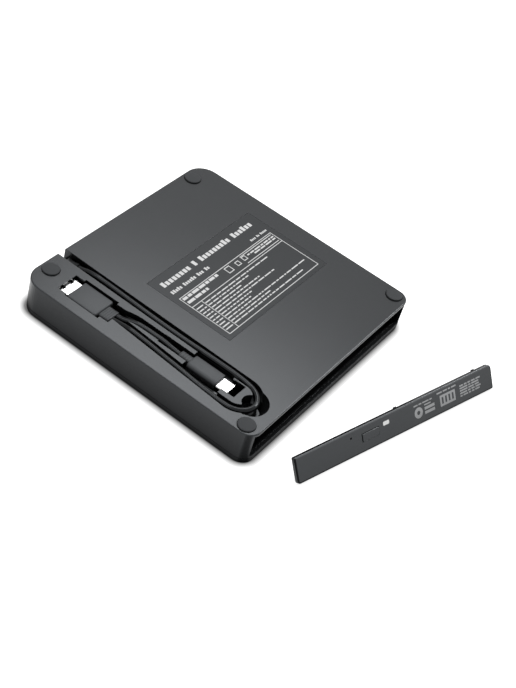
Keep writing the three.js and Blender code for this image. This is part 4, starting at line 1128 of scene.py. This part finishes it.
def floor_shade(tree, place, strip):
    """How much lamp light the floor throws back, with painted shadow: less by the object, and in a mirror
    less still near its front and rear.
    """
    mirrored = ray_kinds(tree)[1]
    front_share = fade_node(tree, place, MIRRORED_SHADE_REACH, MIRRORED_SHADE)
    front_share = math_node(tree, "MULTIPLY", front_share, strip)
    unseen = math_node(tree, "SUBTRACT", 1, mirrored)
    shade = painted_corner_shade(tree, FLOOR_CORNER_DISTANCE, FLOOR_CORNER_POWER)
    shade = math_node(tree, "MULTIPLY", shade, math_node(tree, "MAXIMUM", unseen, front_share))
    return math_node(tree, "MULTIPLY", shade, FLOOR_COLOUR)


def floor_material():
    material, tree, shader, place = new_material("floor")
    tree.nodes.remove(shader)
    strip = strip_node(tree, place)
    emission = tree.nodes.new("ShaderNodeEmission")
    tree.links.new(floor_glow(tree, place, strip), emission.inputs["Strength"])
    diffuse = tree.nodes.new("ShaderNodeBsdfDiffuse")
    tree.links.new(floor_shade(tree, place, strip), diffuse.inputs["Color"])
    both = tree.nodes.new("ShaderNodeAddShader")
    tree.links.new(diffuse.outputs["BSDF"], both.inputs[0])
    tree.links.new(emission.outputs["Emission"], both.inputs[1])
    tree.links.new(both.outputs["Shader"], tree.nodes["Material Output"].inputs["Surface"])
    return material


def make_floor():
    """A pale floor, white to the camera away from the object, with a painted shadow round it, and dimmer in
    mirrors and glass.
    """
    half = FLOOR_HALF * MM
    data = bpy.data.meshes.new("floor")
    corners = [(-half, -half, 0), (half, -half, 0), (half, half, 0), (-half, half, 0)]
    data.from_pydata(corners, [], [(0, 1, 2, 3)])
    data.materials.append(floor_material())
    floor = bpy.data.objects.new("floor", data)
    bpy.context.scene.collection.objects.link(floor)


def make_world():
    """A white world, dimmer as a light than it looks."""
    world = bpy.data.worlds.new("world")
    bpy.context.scene.world = world
    world.use_nodes = True
    tree = world.node_tree
    back = tree.nodes["Background"]
    back.inputs["Color"].default_value = WORLD_COLOUR
    looked_at = math_node(tree, "MAXIMUM", *ray_kinds(tree))
    tree.links.new(range_node(tree, looked_at, WORLD_STRENGTH), back.inputs["Strength"])


def make_lamp(name, lamp):
    data = bpy.data.lights.new(name, "AREA")
    data.shape = "RECTANGLE"
    data.size = lamp.size[0] * MM
    data.size_y = lamp.size[1] * MM
    data.energy = lamp.power
    towards = Vector(lamp.direction).normalized()
    side = Vector((0, 1, 0)).cross(towards).normalized()
    turn = Matrix((side, towards.cross(side), towards)).transposed().to_4x4()
    spin = Matrix.Rotation(math.radians(lamp.turn), 4, "Z")
    obj = bpy.data.objects.new(name, data)
    obj.matrix_world = Matrix.Translation(towards * LAMP_DISTANCE * MM) @ turn @ spin
    bpy.context.scene.collection.objects.link(obj)


looks = make_looks()
make_camera()
main_cord = make_cord("lead_main", MAIN_ROUTE, looks["cord_jacket"], "main_cord")
tether_cord = make_cord("lead_tether", TETHER_ROUTE, looks["cord_jacket"], "tether_cord")
body_a = make_plug_body("usb_a_body", "usb_a_overmold", PLUG_A, looks["plug_plastic"])
body_c = make_plug_body("usb_c_body", "usb_c_overmold", PLUG_C, looks["plug_plastic"])
dress_nodes(looks)
for place in ("front_left", "front_right", "rear_left", "rear_right"):
    make_foot("rubber_" + place, "foot_" + place, looks["foot_rubber"])
make_label_print(looks["label_ink"])
make_face_plate("faceplate", looks)
make_button("eject_button", looks)
make_plate_print(looks["plate_ink"])
make_floor()
make_world()
for name, lamp in LAMPS.items():
    make_lamp(name, lamp)
bpy.context.scene.view_settings.view_transform = "Standard"
